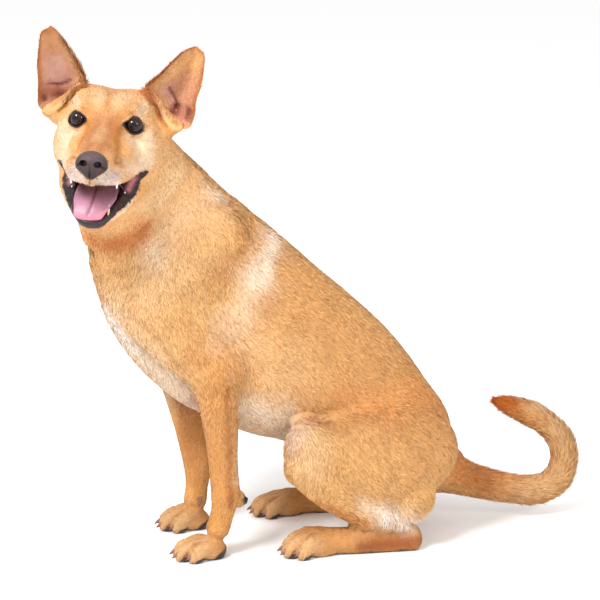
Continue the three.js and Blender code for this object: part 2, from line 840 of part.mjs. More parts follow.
let lowerJaw = jaw;
let tongue = tongueSkin.subtract(headGrown).subtract(jaw);
for (const side of [1, -1]) {
  for (const one of upperTeeth) {
    head = head.add(tooth(one, side, false));
    tongue = tongue.subtract(tooth(one, side, false, 1));
  }
  for (const one of lowerTeeth) {
    lowerJaw = lowerJaw.add(tooth(one, side, true));
    tongue = tongue.subtract(tooth(one, side, true, 1));
  }
}
addNode('head', head, COLOURS.coat);
addNode('jaw', lowerJaw, COLOURS.coat);
addNode('tongue', tongue, COLOURS.tongue, 0.6);

const neckSkin = skinned(fleshDistance, [-340, -170, 380], [-80, 110, 680], 24);
addNode('neck', neckSkin.intersect(neckCut.after()).intersect(headCut.after()), COLOURS.coat);

// ---- trunk

let torso = skinned(fleshDistance, [-330, -150, 10], [270, 150, 600], 28);
torso = torso.intersect(neckCut.before()).intersect(tailCut.before());
for (const side of [LEFT, RIGHT]) {
  torso = torso.subtract(foreBox(side, GAP / 2)).subtract(hindBox(side, GAP / 2));
}
addNode('torso', torso, COLOURS.coat);

// ---- legs, paws and claws

const CLAW_LENGTH = 13;
const CLAW_ROOT = 3.4;
const DEWCLAW_LENGTH = 10;
const DEWCLAW_AT = [-20, 18, 48]; // forward, inward and up in the paw's frame
const DEWCLAW_SLOPE = 60; // down from straight forward

// A claw: a cone that bends down to its tip, in a frame with x along its root.
function claw(frame, length = CLAW_LENGTH) {
  const cone = new THREE.SphereGeometry(1, 6, 5);
  const place = cone.getAttribute('position');
  for (let i = 0; i < place.count; i++) {
    const along = (place.getY(i) + 1) / 2;
    const round = Math.hypot(place.getX(i), place.getZ(i)) * (1 - along * 0.65) * CLAW_ROOT;
    const turn = Math.atan2(place.getZ(i), place.getX(i));
    const drop = 0.42 * length * along * along;
    place.setXYZ(i, along * length, Math.cos(turn) * round * 0.8, Math.sin(turn) * round - drop);
  }
  cone.applyMatrix4(frame);
  return solidOf(cone);
}

function addClaws(name, pawAt, pawGrown) {
  PAW_TOES.forEach(({ forward, aside, turn }, index) => {
    const frame = pawAt.clone();
    const tipAside = aside + Math.tan(radians(turn)) * 12;
    frame.multiply(new THREE.Matrix4().makeTranslation(forward + 5, tipAside, 9.5));
    frame.multiply(new THREE.Matrix4().makeRotationZ(radians(turn)));
    const solid = claw(frame).subtract(pawGrown).intersect(floorCut.after());
    addNode(`${name}_${index + 1}`, solid, COLOURS.claw, 0.4);
  });
}

// The dewclaw, on the inner side of the pastern, points forwards and down.
function dewclaw(side, pawGrown) {
  const [forward, inward, up] = DEWCLAW_AT;
  const frame = forePaws[side].clone();
  frame.multiply(new THREE.Matrix4().makeTranslation(forward, side * inward, up));
  frame.multiply(new THREE.Matrix4().makeRotationY(radians(DEWCLAW_SLOPE)));
  return claw(frame, DEWCLAW_LENGTH).subtract(pawGrown);
}

function pawRegion(frame) {
  const at = vector(0, 0, 0).setFromMatrixPosition(frame);
  return [
    [at.x - 52, at.y - 42, -8],
    [at.x + 56, at.y + 42, 74],
  ];
}

const PAW_CELL = 8.6;
for (const side of [LEFT, RIGHT]) {
  const name = sideName(side);
  const foreSkin = skinned(fleshDistance, [-240, side * 78 - 52, 30], [-60, side * 78 + 52, 300], 15);
  const foreFlesh = foreSkin.intersect(foreBox(side, -GAP / 2)).intersect(wristCut.before());
  addNode(`foreleg_${name}`, foreFlesh, COLOURS.coat);

  const foreRegion = pawRegion(forePaws[side]);
  const forePaw = skinned(fleshDistance, ...foreRegion, PAW_CELL);
  addNode(`fore_paw_${name}`, forePaw.intersect(wristCut.after()).intersect(floorCut.after()), COLOURS.coat);
  const foreGrown = skinned(grownDistance, ...foreRegion, PAW_CELL);
  addClaws(`fore_claw_${name}`, forePaws[side], foreGrown);
  addNode(`dewclaw_${name}`, dewclaw(side, foreGrown), COLOURS.claw, 0.4);

  const hindSkin = skinned(fleshDistance, [-90, side * 100 - 60, 8], [280, side * 100 + 60, 240], 23);
  addNode(`thigh_${name}`, hindSkin.intersect(hindBox(side, -GAP / 2)).intersect(creaseCut.before())
    .intersect(ankleCut.before()), COLOURS.coat);
  const shankSkin = skinned(fleshDistance, [-90, side * 100 - 60, 8], [190, side * 100 + 60, 160], 14);
  addNode(`shank_${name}`, shankSkin.intersect(hindBox(side, -GAP / 2)).intersect(creaseCut.after())
    .intersect(ankleCut.before()), COLOURS.coat);
  const footSkin = skinned(fleshDistance, [-10, side * 90 - 44, -14], [190, side * 90 + 44, 60], 12);
  addNode(`hind_foot_${name}`, footSkin.intersect(hindBox(side, -GAP / 2)).intersect(ankleCut.after())
    .intersect(toeCut.before()).intersect(floorCut.after()), COLOURS.coat);
  const hindRegion = pawRegion(hindPaws[side]);
  const hindPaw = skinned(fleshDistance, ...hindRegion, PAW_CELL);
  addNode(`hind_paw_${name}`, hindPaw.intersect(toeCut.after()).intersect(ankleCut.after())
    .intersect(floorCut.after()), COLOURS.coat);
  addClaws(`hind_claw_${name}`, hindPaws[side], skinned(grownDistance, ...hindRegion, PAW_CELL));
}

// ---- tail, in three lengths

const tailBend = new Cut([350, 0, 40], [1, 0, 0.25]);
const tailRise = new Cut([380, 0, 116], [-0.35, 0, 0.94]);
const tailCell = 15;
const tailLow = skinned(fleshDistance, [190, -60, 0], [380, 60, 104], tailCell);
const tailMiddle = skinned(fleshDistance, [330, -60, 0], [430, 60, 150], tailCell);
const tailHigh = skinned(fleshDistance, [260, -60, 90], [430, 60, 200], tailCell);
const aboveBase = boxSolid([330, 0, 45], [260, 140, 114]);
const tailBase = tailLow.intersect(aboveBase).intersect(tailCut.after()).intersect(tailBend.before());
addNode('tail_base', tailBase, COLOURS.coat);
addNode('tail_middle', tailMiddle.intersect(tailBend.after()).intersect(tailRise.before()), COLOURS.coat);
addNode('tail_tip', tailHigh.intersect(tailRise.after()), COLOURS.coat);

// The origin is the middle of the bottom of the dog's box.
dog.updateMatrixWorld(true);
const size = new THREE.Box3().setFromObject(dog, true);
const middle = size.getCenter(vector(0, 0, 0));
dog.position.set(-middle.x, -middle.y, -size.min.z);

export default dog;
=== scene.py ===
import math

import bmesh
import bpy
import numpy as np
from bpy.props import FloatProperty, FloatVectorProperty, IntProperty, PointerProperty
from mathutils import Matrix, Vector
from mathutils.kdtree import KDTree


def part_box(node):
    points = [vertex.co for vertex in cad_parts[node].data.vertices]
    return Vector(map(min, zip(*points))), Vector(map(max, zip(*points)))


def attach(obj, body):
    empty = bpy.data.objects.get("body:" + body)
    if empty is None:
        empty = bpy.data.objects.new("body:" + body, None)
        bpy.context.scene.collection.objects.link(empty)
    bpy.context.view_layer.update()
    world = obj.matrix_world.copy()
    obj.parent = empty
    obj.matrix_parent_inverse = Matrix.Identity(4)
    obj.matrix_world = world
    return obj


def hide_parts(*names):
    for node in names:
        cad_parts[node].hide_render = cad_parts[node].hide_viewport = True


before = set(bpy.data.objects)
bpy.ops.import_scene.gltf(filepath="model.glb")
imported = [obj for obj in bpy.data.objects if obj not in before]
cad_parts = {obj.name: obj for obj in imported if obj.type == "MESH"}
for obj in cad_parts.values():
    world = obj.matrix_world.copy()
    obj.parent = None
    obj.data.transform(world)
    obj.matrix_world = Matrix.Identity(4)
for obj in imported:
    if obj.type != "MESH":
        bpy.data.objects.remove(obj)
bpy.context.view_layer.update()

# A medium, short-coated dog that sits upright with its head turned to its left, at life size.
#
# The forms of the flesh are in millimetres, in the dog's own place: it faces -X, its left side is -Y, +Z is
# up, its middle plane is y = 0 and the floor is z = 0. Forms of the head are given as forward (out of the
# nose), aside (to the dog's left) and up (out of the skull), from the point midway between the eyes.

bl_info = {
    "name": "Sitting dog",
    "version": (1, 0, 0),
    "blender": (4, 5, 0),
    "location": "View3D > Sidebar > Dog",
    "description": "Skin, coat, eyes, nose, mouth and claws of a life-size sitting dog",
    "category": "Object",
}

HEAD_AT = np.array([-271.5, -95.0, 594.0])
HEAD_YAW = 19.1  # from straight to the dog's left, back towards where the body faces
HEAD_PITCH = 5.9  # nose down
HEAD_ROLL = 6.4  # leaning towards the dog's left
EYE_SPACING = 71.0
EYEBALL_RADIUS = 10.8
EYE_FORWARD = -6.0
NOSE_AT = np.array([92.0, 0.0, -27.5])
NOSE_HALF = np.array([13.0, 20.0, 17.0])
EAR_THICKNESS = 2.8

LEFT, RIGHT = -1, 1  # the sign of y on the dog's two sides
FORE_STANCE = {LEFT: 53.0, RIGHT: 68.0}  # from the middle plane to the middle of a fore paw
HIND_STANCE = {LEFT: 78.0, RIGHT: 92.0}
HEEL_STANCE = {LEFT: 95.0, RIGHT: 81.0}
FORE_PAW_X = {LEFT: -149.0, RIGHT: -145.0}
HIND_PAW_X = -8.0
PAW_TURN_OUT = 2.0

CAMERA_TARGET = (0.0, -7.0, 332.0)
CAMERA_AWAY = 2850.0
CAMERA_AZIMUTH = -15.0
CAMERA_ELEVATION = 13.5
CAMERA_LENS = 128.6
SEED = 11

TUFTS_TO_A_PIECE = 60000
TUFT_ROOT_DEPTH = 0.3  # how far a tuft starts below the skin
TUFT_CORNERS = np.array([0, 1, 2, 3, 3, 2, 4])  # of a four-sided panel and the three-sided tip above it
# The darker roots of the tufts are painted shade, where the tufts cover each other.
TUFT_SHADE = np.array([0.82, 0.82, 1.0, 1.0, 1.10])  # darker at the root and lighter at the tip
TUFT_ON_MAP = 0.003  # the size of a tuft's patch on the map of the skin

LAMPS_FACE = (-20, 0, 330)
LAMPS = (  # name, place, size in metres and power in watts
    ("key", (-1714, -1403, 2326), 0.75, 76),
    ("fill", (1120, -2144, 1319), 0.45, 17),
)


# ---------------------------------------------------------------- places and frames


def head_axes():
    """The head's forward, aside and up directions, as the columns of a matrix."""
    yaw, pitch, roll = (math.radians(a) for a in (HEAD_YAW, HEAD_PITCH, -HEAD_ROLL))
    forward = np.array([-math.sin(yaw) * math.cos(pitch), -math.cos(yaw) * math.cos(pitch), -math.sin(pitch)])
    aside = np.cross((0, 0, 1), forward)
    aside /= np.linalg.norm(aside)
    up = np.cross(forward, aside)
    turn = np.array([[1, 0, 0], [0, math.cos(roll), -math.sin(roll)], [0, math.sin(roll), math.cos(roll)]])
    return np.stack([forward, aside, up], axis=1) @ turn


HEAD = head_axes()


def in_head(points):
    """Places in the dog's frame as forward, aside and up of the head."""
    return (points - HEAD_AT) @ HEAD


def out_of_head(local):
    return HEAD_AT + np.asarray(local, float) @ HEAD.T


def eye_place(side):
    """The middle of an eyeball, in the head's frame; side is 1 on the left and -1 on the right."""
    return np.array([EYE_FORWARD, side * (EYE_SPACING / 2 - 1), 0.0])


low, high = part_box("eye_left")
SHIFT = np.array((low + high) / 2) * 1000 - out_of_head(eye_place(1))  # from the dog's frame to the row's


def to_scene(points):
    return (np.asarray(points, float) + SHIFT) / 1000


def to_dog(points):
    return np.asarray(points, float) * 1000 - SHIFT


# ---------------------------------------------------------------- smooth shapes


def blend(a, b, reach):
    """The nearer of two surfaces, rounded where they come within reach of each other."""
    near = np.maximum(reach - np.abs(a - b), 0) / reach
    return np.minimum(a, b) - near * near * reach / 4


def through(points, steps, even):
    """Points on a smooth line through the given ones, steps of them to a span; even spans take no account of
    how far apart the points lie."""
    points = np.asarray(points, float)
    before = 2 * points[0] - points[1]
    after = 2 * points[-1] - points[-2]
    spaced = np.vstack([before, points, after])
    line = [points[0]]
    for p0, p1, p2, p3 in zip(spaced, spaced[1:], spaced[2:], spaced[3:]):
        if even:
            start, end = (p2 - p0) / 2, (p3 - p1) / 2
        else:
            d0, d1, d2 = (max(np.linalg.norm(b - a), 1e-6) ** 0.5 for a, b in ((p0, p1), (p1, p2), (p2, p3)))
            start = ((p1 - p0) / d0 - (p2 - p0) / (d0 + d1) + (p2 - p1) / d1) * d1
            end = ((p2 - p1) / d1 - (p3 - p1) / (d1 + d2) + (p3 - p2) / d2) * d1
        for i in range(1, steps + 1):
            t = i / steps
            line.append(
                p1 + start * t + (-3 * p1 + 3 * p2 - 2 * start - end) * t**2
                + (2 * p1 - 2 * p2 + start + end) * t**3
            )
    return np.array(line)


class Limb:
    """A smooth line of stations (x, y, z, half width, half depth) with an elliptical section."""

    def __init__(self, stations, side=(0, 1, 0), steps=3):
        stations = np.asarray(stations, float)
        line = through(stations[:, :3], steps, even=False)
        self.line = line
        self.sizes = through(stations[:, 3:], steps, even=True)
        along = np.diff(line, axis=0)
        self.length = np.linalg.norm(along, axis=1)
        self.axis = along / self.length[:, None]
        across = np.asarray(side, float) - (self.axis @ np.asarray(side, float))[:, None] * self.axis
        self.across = across / np.linalg.norm(across, axis=1)[:, None]
        self.deep = np.cross(self.axis, self.across)
        self.centre = (line.min(0) + line.max(0)) / 2
        self.radius = np.linalg.norm(np.ptp(line, axis=0)) / 2 + stations[:, 3:].max()

    def distance(self, points):
        nearest = np.full(len(points), np.inf)
        for i in range(len(self.length)):
            d = points - self.line[i]
            along = d @ self.axis[i]
            share = np.clip(along / self.length[i], 0, 1)
            width, depth = (self.sizes[i] + (self.sizes[i + 1] - self.sizes[i]) * share[:, None]).T
            least = np.minimum(width, depth)
            past = (along - share * self.length[i]) / least
            aside = d @ self.across[i] / width
            deep = d @ self.deep[i] / depth
            scaled = np.sqrt(aside**2 + deep**2 + past**2)
            slope = np.sqrt((aside / width) ** 2 + (deep / depth) ** 2 + (past / least) ** 2)
            nearest = np.minimum(nearest, scaled * (scaled - 1) / np.maximum(slope, 1e-9))
        return nearest


class Mass:
    """A rounded mass: an ellipsoid at (x, y, z) with three half sizes, tilted in the x-z plane."""

    def __init__(self, at, half, tilt=0.0):
        self.centre = np.asarray(at, float)
        self.half = np.asarray(half, float)
        self.radius = self.half.max()
        self.cos, self.sin = math.cos(math.radians(tilt)), math.sin(math.radians(tilt))

    def distance(self, points):
        d = points - self.centre
        along = d[:, 0] * self.cos + d[:, 2] * self.sin
        up = d[:, 2] * self.cos - d[:, 0] * self.sin
        own = np.stack([along, d[:, 1], up], axis=1) / self.half
        scaled = np.linalg.norm(own, axis=1)
        slope = np.linalg.norm(own / self.half, axis=1)
        return scaled * (scaled - 1) / np.maximum(slope, 1e-9)


class Flesh:
    """Forms added one after the other, each blended over its own reach, or carved away."""

    def __init__(self):
        self.layers = []

    def add(self, reach, *forms):
        self.layers += [(form, reach, 1) for form in forms]
        return self

    def carve(self, reach, *forms):
        self.layers += [(form, reach, -1) for form in forms]
        return self

    def distance(self, points):
        value = np.full(len(points), 1e3)
        for form, reach, sign in self.layers:
            away = np.linalg.norm(points - form.centre, axis=1) - form.radius
            near = away <= np.maximum(sign * value, 0) + reach
            if near.any():
                here = form.distance(points[near])
                value[near] = sign * blend(sign * value[near], here, reach)
        return value


# ---------------------------------------------------------------- the flesh of the body


def foreleg_lean(side, z):
    """The far foreleg leans forward as it rises."""
    return -0.11 * z if side == RIGHT else 0.0


def foreleg_spread(side, z):
    """How much further out a foreleg stands at a height than straight below its elbow."""
    return (FORE_STANCE[side] - 60) * max(1 - z / 160, 0)


TRUNK = Limb([
    (-190, -4, 440, 66, 82),
    (-159, 0, 381, 76, 120),
    (-93, 0, 309, 85, 130),
    (-21, 0, 264, 86, 116),
    (47, 0, 216, 82, 104),
    (96, 0, 173, 79, 91),
    (138, 0, 136, 74, 71),
    (160, 0, 105, 64, 60),
], steps=8)
NECK = Limb([
    (-241, -43, 567, 47, 40),
    (-229, -27, 532, 61, 59),
    (-206, -9, 484, 65, 77),
    (-186, -3, 435, 68, 92),
], steps=7)
TAIL = Limb([
    (196, 0, 84, 32, 38),
    (232, -2, 64, 24, 28.5),
    (268, -5, 52, 20, 24),
    (305, -8, 43, 19, 22.5),
    (341, -10, 39, 19, 23),
    (370, -10, 51, 19, 23),
    (382, -8, 79, 19, 22),
    (378, -4, 106, 18, 21),
    (361, 0, 128, 17, 19.5),
    (339, 4, 144, 16, 20),
    (315, 8, 154.5, 14, 17),
    (293, 11, 163.5, 9, 11),
])


def shoulder(side):
    """The shoulder blade down to the point of the shoulder, and the upper arm back to the elbow."""
    point = (-212, side * 62, 338, 26, 36)
    elbow = (-132 + foreleg_lean(side, 262), side * 75, 262, 23, 36)
    return (
        Limb([(-118, side * 44, 452, 18, 30), (-168, side * 60, 392, 26, 42), point]),
        Limb([point, (-168, side * 72, 300, 26, 42), elbow]),
    )


def foreleg(side):
    """From the elbow down to the wrist and the pastern above the paw."""
    stations = [
        (-134, 75, 276, 24, 36),
        (-129, 73, 230, 21, 29),
        (-124, 70, 190, 19, 25.5),
        (-121, 66, 150, 16.5, 22),
        (-118, 64, 112, 15, 20.5),
        (-116, 63, 88, 16.5, 20.5),
        (-120, 63, 62, 16, 17),
        (-125, 60, 42, 18, 17),
    ]
    return Limb([
        (x + foreleg_lean(side, z), side * (y + foreleg_spread(side, z)), z, width, depth)
        for x, y, z, width, depth in stations
    ])


def hindquarter(side):
    """Hip, thigh, knee, shank, the long hair behind the thigh, and the foot from heel to toes. The far knee
    lies further back than the near one."""
    back = 40 if side == RIGHT else 0
    heel, ball = side * HEEL_STANCE[side], side * HIND_STANCE[side]
    return (
        (30, Mass((142, side * 42, 160), (58, 42, 50), -40)),
        (16, Mass((90 + back * 0.3, side * 76, 128), (112 - back * 0.3, 48, 76), 4)),
        (18, Mass((-5 + back, side * 92, 143), (40, 30, 49), 20)),
        (6, Limb([
            (-22 + back, side * 96, 128, 24, 26),
            (20 + back * 0.7, side * 97, 92, 23, 28),
            (70 + back * 0.3, side * 95, 55, 19, 22),
            (112, side * 91, 33, 14, 16),
            (133, side * 89, 20, 12, 14),
        ])),
        (10, Mass((136, side * 92, 70), (31, 24, 27), 32)),
        (5, Limb([
            (134, heel, 14, 13, 16),
            (95, heel * 0.96, 16, 14, 18),
            (50, (heel + ball) / 2, 18, 16, 19),
            (12, ball, 19, 20, 18),
        ])),
    )


PAW_TOES = ((9, -18.5, -8), (24, -7, -2), (24, 7, 2), (9, 18.5, 8))  # forward, aside, turn outwards


class Paw:
    """A paw in its own frame: forward, to one side, and up from the floor."""

    def __init__(self, x, side, stance, rise):
        self.at = np.array([x, side * stance[side], 0.0])
        turn = math.radians(180 - side * PAW_TURN_OUT)
        self.turn = np.array([
            [math.cos(turn), -math.sin(turn), 0],
            [math.sin(turn), math.cos(turn), 0],
            [0, 0, 1],
        ])
        self.flesh = Flesh().add(10, Mass((-8, 0, 14), (26, 22, 15)), Mass((-18, 0, 6), (15, 16, 11)))
        for forward, aside, bend in PAW_TOES:
            slope = math.tan(math.radians(bend))
            self.flesh.add(3, Limb([
                (-14, aside * 0.6, rise, 8.5, 8.5),
                (forward - 12, aside * 0.93, rise + 1, 8.8, 9.5),
                (forward - 1, aside + slope * 6, 14, 8.8, 11),
                (forward + 5, aside + slope * 12, 8, 7.5, 7.5),
            ]))

    def inside(self, points):
        return (points - self.at) @ self.turn

    def outside(self, local):
        return self.at + np.asarray(local, float) @ self.turn.T

    def distance(self, points):
        local = self.inside(points)
        value = self.flesh.distance(local)
        for line in TOE_GAPS:
            press(value, local, 1.7, 1.9, line)
        return value


TOE_GAPS = [((-2, aside * 0.8, 31), (12, aside, 23), (26, aside, 8)) for aside in (-12.5, 0, 12.5)]
PAWS = {
    "fore_left": Paw(FORE_PAW_X[LEFT], LEFT, FORE_STANCE, 18),
    "fore_right": Paw(FORE_PAW_X[RIGHT], RIGHT, FORE_STANCE, 21),
    "hind_left": Paw(HIND_PAW_X, LEFT, HIND_STANCE, 24),
    "hind_right": Paw(HIND_PAW_X, RIGHT, HIND_STANCE, 20),
}


def body_flesh():
    """The whole body without head and paws."""
    body = Flesh().add(40, TRUNK, NECK).add(24, Mass((-50, 0, 210), (60, 52, 58)))
    for side in (LEFT, RIGHT):
        body.add(28, *shoulder(side))
        body.add(14, foreleg(side))
        wrist_pad = (-95, side * (62 + foreleg_spread(side, 80)), 80)
        body.add(4, Mass(wrist_pad, (10, 7, 13)))
        for reach, form in hindquarter(side):
            body.add(reach, form)
    return body.add(24, TAIL)


# ---------------------------------------------------------------- the flesh of the head


def both(make):
    """The same form on the left and the right of the head."""
    return make(1), make(-1)


def closed_head():
    """The head with its mouth still closed over, from skull to chin."""
    head = Flesh().add(
        16,
        Mass((-46, 0, -6), (58, 46, 35)),  # skull
        *both(lambda s: Mass((-35, s * 42, -42), (38, 26.5, 37))),  # cheek muscle
        *both(lambda s: Mass((-54, s * 28, 6), (34, 24, 24))),  # temple
        *both(lambda s: Mass((-74, s * 60, -18), (20, 21, 15))),  # root of the ear
        Mass((-22, 0, 4), (28, 27, 20)),  # forehead
        Limb([
            (-4, 0, -19, 30, 24),
            (30, 0, -22, 27, 21),
            (62, 0, -25, 24, 18),
            (84, 0, -27, 20, 16),
        ]),  # muzzle
    )
    head.add(
        9,
        *both(lambda s: Mass((-18, s * 25, 14), (15, 15, 9))),  # brow
        *both(lambda s: Mass((-32, s * 48, -14), (28, 14, 13))),  # cheekbone
        *both(lambda s: Mass((14, s * 28, -28), (28, 14, 15))),  # below the eye
    )
    head.add(10, Limb([
        (-44, 0, -72, 59, 34),
        (-8, 0, -86, 54, 25),
        (24, 0, -99, 39, 18),
        (45, 0, -106, 25, 15),
        (54, 0, -108, 19, 13),
    ]))  # lower jaw and chin
    head.add(16, Limb([(-22, 0, -100, 45, 26), (-38, 6, -128, 42, 28), (-50, 14, -155, 44, 30)]))  # throat
    head.add(7, *both(lambda s: Limb([
        (-6, s * 44, -54, 8, 14),
        (26, s * 36, -49, 8, 14),
        (56, s * 28, -46, 8, 14),
        (78, s * 16, -44, 8, 12),
        (90, s * 3, -43, 8, 11),
    ])))  # upper lip
    head.carve(9, *both(lambda s: Mass((10, s * 37, 0), (15, 13, 10))))  # in front of the eye
    head.add(14, *both(lambda s: Limb([
        (-56, s * 42, 20, 9, 9),
        (-60, s * 58, 4, 10, 10),
        (-64, s * 72, -8, 10, 10),
        (-64, s * 84, -12, 7, 7),
    ])))  # below the open side of the ear
    head.add(5, *both(lambda s: Mass(eye_place(s) + (0.4, 0, 0), (12.9, 13.8, 12.6))))  # lids
    return head


MOUTH = Flesh().add(3, *(
    Limb([
        (-4, 0, -61.5, 75, 3),
        (12, 0, -65.5, 75, 8),
        (30, 0, -71, 75, 13),
        (60, 0, -81, 75, 22),
        (95, 0, -87, 75, 33),
        (130, 0, -94, 75, 44),
    ]),
    Limb([(-14, 0, -62, 20, 5), (20, 0, -62, 25, 10), (55, 0, -59, 20, 12), (78, 0, -55, 12, 9)]),
    Limb([(-14, 0, -72, 22, 6), (15, 0, -83, 29, 9), (38, 0, -93, 21, 9), (48, 0, -99, 14, 7)]),
))
CLOSED_HEAD = closed_head()
LIP_FOLD = Mass((45, 23, -99), (7, 4, 8))  # where the lower canine props up the lip
BODY = body_flesh()
LID_OPENING = np.array([10.4, 8.4])  # half the width and half the height


def gaze(side):
    """The direction an eye looks in, forwards and a little outwards."""
    turn = math.radians(side * 10)
    return np.array([math.cos(turn), math.sin(turn), 0.0])


def eye_opening(local, side):
    """How far a place in the head is outside the opening between the lids, seen along the gaze, and how high
    it lies above the middle of the eye."""
    d = local - eye_place(side)
    look = gaze(side)
    ahead = d @ look
    aside = d @ np.array([-look[1], look[0], 0.0]) * side
    up = d[:, 2] + 0.12 * aside
    inner = np.clip(-aside / LID_OPENING[0], 0, 1.3)
    flat, tall = aside / LID_OPENING[0], up / LID_OPENING[1]
    ring = np.hypot(flat * (1 - 0.06 * inner), tall * (1 + 0.5 * inner**2))
    outside = (ring - 1) * LID_OPENING.min()
    return np.where(ahead > 0, outside, np.maximum(outside, -ahead)), up


NECK_CREASE = ((-98, 32, 477), (-128, 66, 471), (-152, 75, 463))
CHEST_CREASE = ((-250, 65, 341), (-235, 87, 336), (-217, 92, 322), (-200, 91, 298), (-181, 89, 270))
PHILTRUM = ((98, 0, -43), (97, 0, -48), (95.5, 0, -52), (93, 0, -57))
# Folds of the skin: how deep and how wide, which sides of the dog they lie on, and their line. Those of the
# head lie on both its sides.
BOTH = (LEFT, RIGHT)
FOLDS = (
    (3.0, 8, (LEFT,), ((-149, 40, 526), (-158, 59, 509), (-177, 73, 493), (-195, 78, 475), (-218, 77, 458),
                       (-233, 73, 443), (-253, 62, 436), (-271, 45, 436))),
    (1.8, 8, (LEFT,), NECK_CREASE),
    (3.0, 6, BOTH, CHEST_CREASE),
    (3.0, 6, BOTH, ((-34, 53, 166), (-24, 69, 184), (-9, 76, 192), (18, 79, 196), (43, 85, 198),
                    (64, 94, 195))),
    (1.5, 5, BOTH, ((-158, 99, 271), (-140, 100, 284), (-120, 99, 287))),
    (2.6, 3.5, BOTH, ((-120, 94, 245), (-117, 88, 185), (-114, 80, 141), (-112, 76, 99))),
    (-2.0, 22, BOTH, ((-95, 62, 440), (-108, 75, 405), (-135, 86, 365), (-160, 92, 335))),
)
HEAD_FOLDS = (
    (0.9, 3.0, ((4, 0, 18), (-10, 0, 25), (-35, 0, 30))),
    (1.4, 1.3, PHILTRUM),
    (1.4, 3.5, ((10, 52, -48), (-2, 56, -56), (-4, 54, -74))),
    (0.9, 2.4, ((-6, 31, 13), (2, 25, 14), (6, 20, 10))),
    (-1.2, 5.0, ((12, 44, -84), (26, 36, -92), (40, 25, -99), (54, 12, -110), (58, 0, -114))),
)
# The lower edge of the black lower lip on the dog's left and right: how far forward and how far up.
LIP_EDGE = {
    1: ((-8, -66), (-5, -74), (0, -79), (6, -82.5), (14, -87), (22, -92), (32, -96), (44, -101), (50, -105),
        (56, -111.5), (62, -120)),
    -1: ((-8, -66), (-5, -74), (0, -79), (6, -82.5), (14, -88), (22, -92.5), (30, -98), (44, -106),
         (50, -110), (54, -113), (60, -120)),
}


def away_from(points, line):
    """How far places are from a line of straight pieces."""
    line = np.asarray(line, float)
    nearest = np.full(len(points), np.inf)
    for start, end in zip(line, line[1:]):
        run = end - start
        along = np.clip((points - start) @ run / (run @ run), 0, 1)
        nearest = np.minimum(nearest, np.linalg.norm(points - start - along[:, None] * run, axis=1))
    return nearest


def press(value, points, depth, width, line):
    """Presses a fold into a surface, along a line."""
    line = np.asarray(line, float)
    reach = np.ptp(line, axis=0).max() / 2 + 3 * width
    near = (np.abs(points - (line.min(0) + line.max(0)) / 2).max(1) < reach) & (np.abs(value) < 30)
    if near.any():
        value[near] += depth * np.exp(-((away_from(points[near], line) / width) ** 2))


def head_distance(points):
    """How far places in the dog's frame are outside its head, with its mouth open and its lids pressed in."""
    local = in_head(points)
    value = CLOSED_HEAD.distance(local)
    mirrored = local.copy()
    mirrored[:, 1] = np.abs(local[:, 1])
    for depth, width, line in HEAD_FOLDS:
        press(value, mirrored, depth, width, line)
    value = -blend(-value, MOUTH.distance(local), 3)
    value = blend(value, LIP_FOLD.distance(mirrored), 4)
    for side in (1, -1):
        near = np.linalg.norm(local - eye_place(side), axis=1) < 40
        if near.any():
            opening, up = eye_opening(local[near], side)
            crease = 0.9 * np.exp(-(((opening - 5.5) / 1.4) ** 2)) * share(up, 1, 6)
            crease += 0.5 * np.exp(-(((opening - 6.5) / 2.0) ** 2)) * share(-up, 1, 6)
            value[near] = -blend(-(value[near] + crease), opening, 1.5)
    return value


def flesh_distance(points):
    """How far places in the dog's frame are outside its flesh, coat included."""
    value = BODY.distance(points)
    for depth, width, sides, line in FOLDS:
        for side in sides:
            press(value, points, depth, width, np.array(line) * (1, side, 1))
    near_head = np.linalg.norm(points - HEAD_AT, axis=1) < 260
    if near_head.any():
        value[near_head] = blend(value[near_head], head_distance(points[near_head]), 12)
    low_down = points[:, 2] < 90
    for paw in PAWS.values():
        near = low_down & (np.abs(points - paw.at).max(1) < 110)
        if near.any():
            value[near] = blend(value[near], paw.distance(points[near]), 12)
    return np.maximum(value, -points[:, 2])


def share(value, start, end):
    """0 before start, 1 past end, and smooth between them."""
    t = np.clip((value - start) / (end - start), 0, 1)
    return t * t * (3 - 2 * t)


def head_share(points):
    """1 on the head, 0 from the middle of the neck on."""
    local = in_head(points)
    return share(local[:, 0] + 0.35 * local[:, 2], -135, -95) * share(local[:, 2], -190, -130)


def tail_share(points):
    return share(points[:, 0], 205, 245)


def forelegs_share(points):
    return share(points[:, 2], 230, 150) * share(points[:, 0], -60, -90)


def grain(points, size, seed):
    """Smooth random values from -1 to 1 in blobs of a given size."""
    table = np.random.default_rng(seed).uniform(-1, 1, (32, 32, 32))
    cell = points / size
    base = np.floor(cell)
    part = cell - base
    part = part * part * (3 - 2 * part)
    base = base.astype(int)
    total = np.zeros(len(points))
    for corner in np.ndindex(2, 2, 2):
        weight = np.prod(np.where(corner, part, 1 - part), axis=1)
        i, j, k = ((base + corner) & 31).T
        total += weight * table[i, j, k]
    return total


def lower_lip(local):
    """How far places of the lower jaw lie above the lower edge of its black lip, and how much they are
    on it."""
    edges = [np.interp(local[:, 0], *np.transpose(LIP_EDGE[side])) for side in (-1, 1)]
    edge = edges[0] + (edges[1] - edges[0]) * share(local[:, 1], -8, 8)
    below = share(-64 - 0.33 * local[:, 0] - local[:, 2], -3, 1) * share(local[:, 0], -9, -6)
    return local[:, 2] - edge + 0.9 * grain(local, 2.6, 8), below


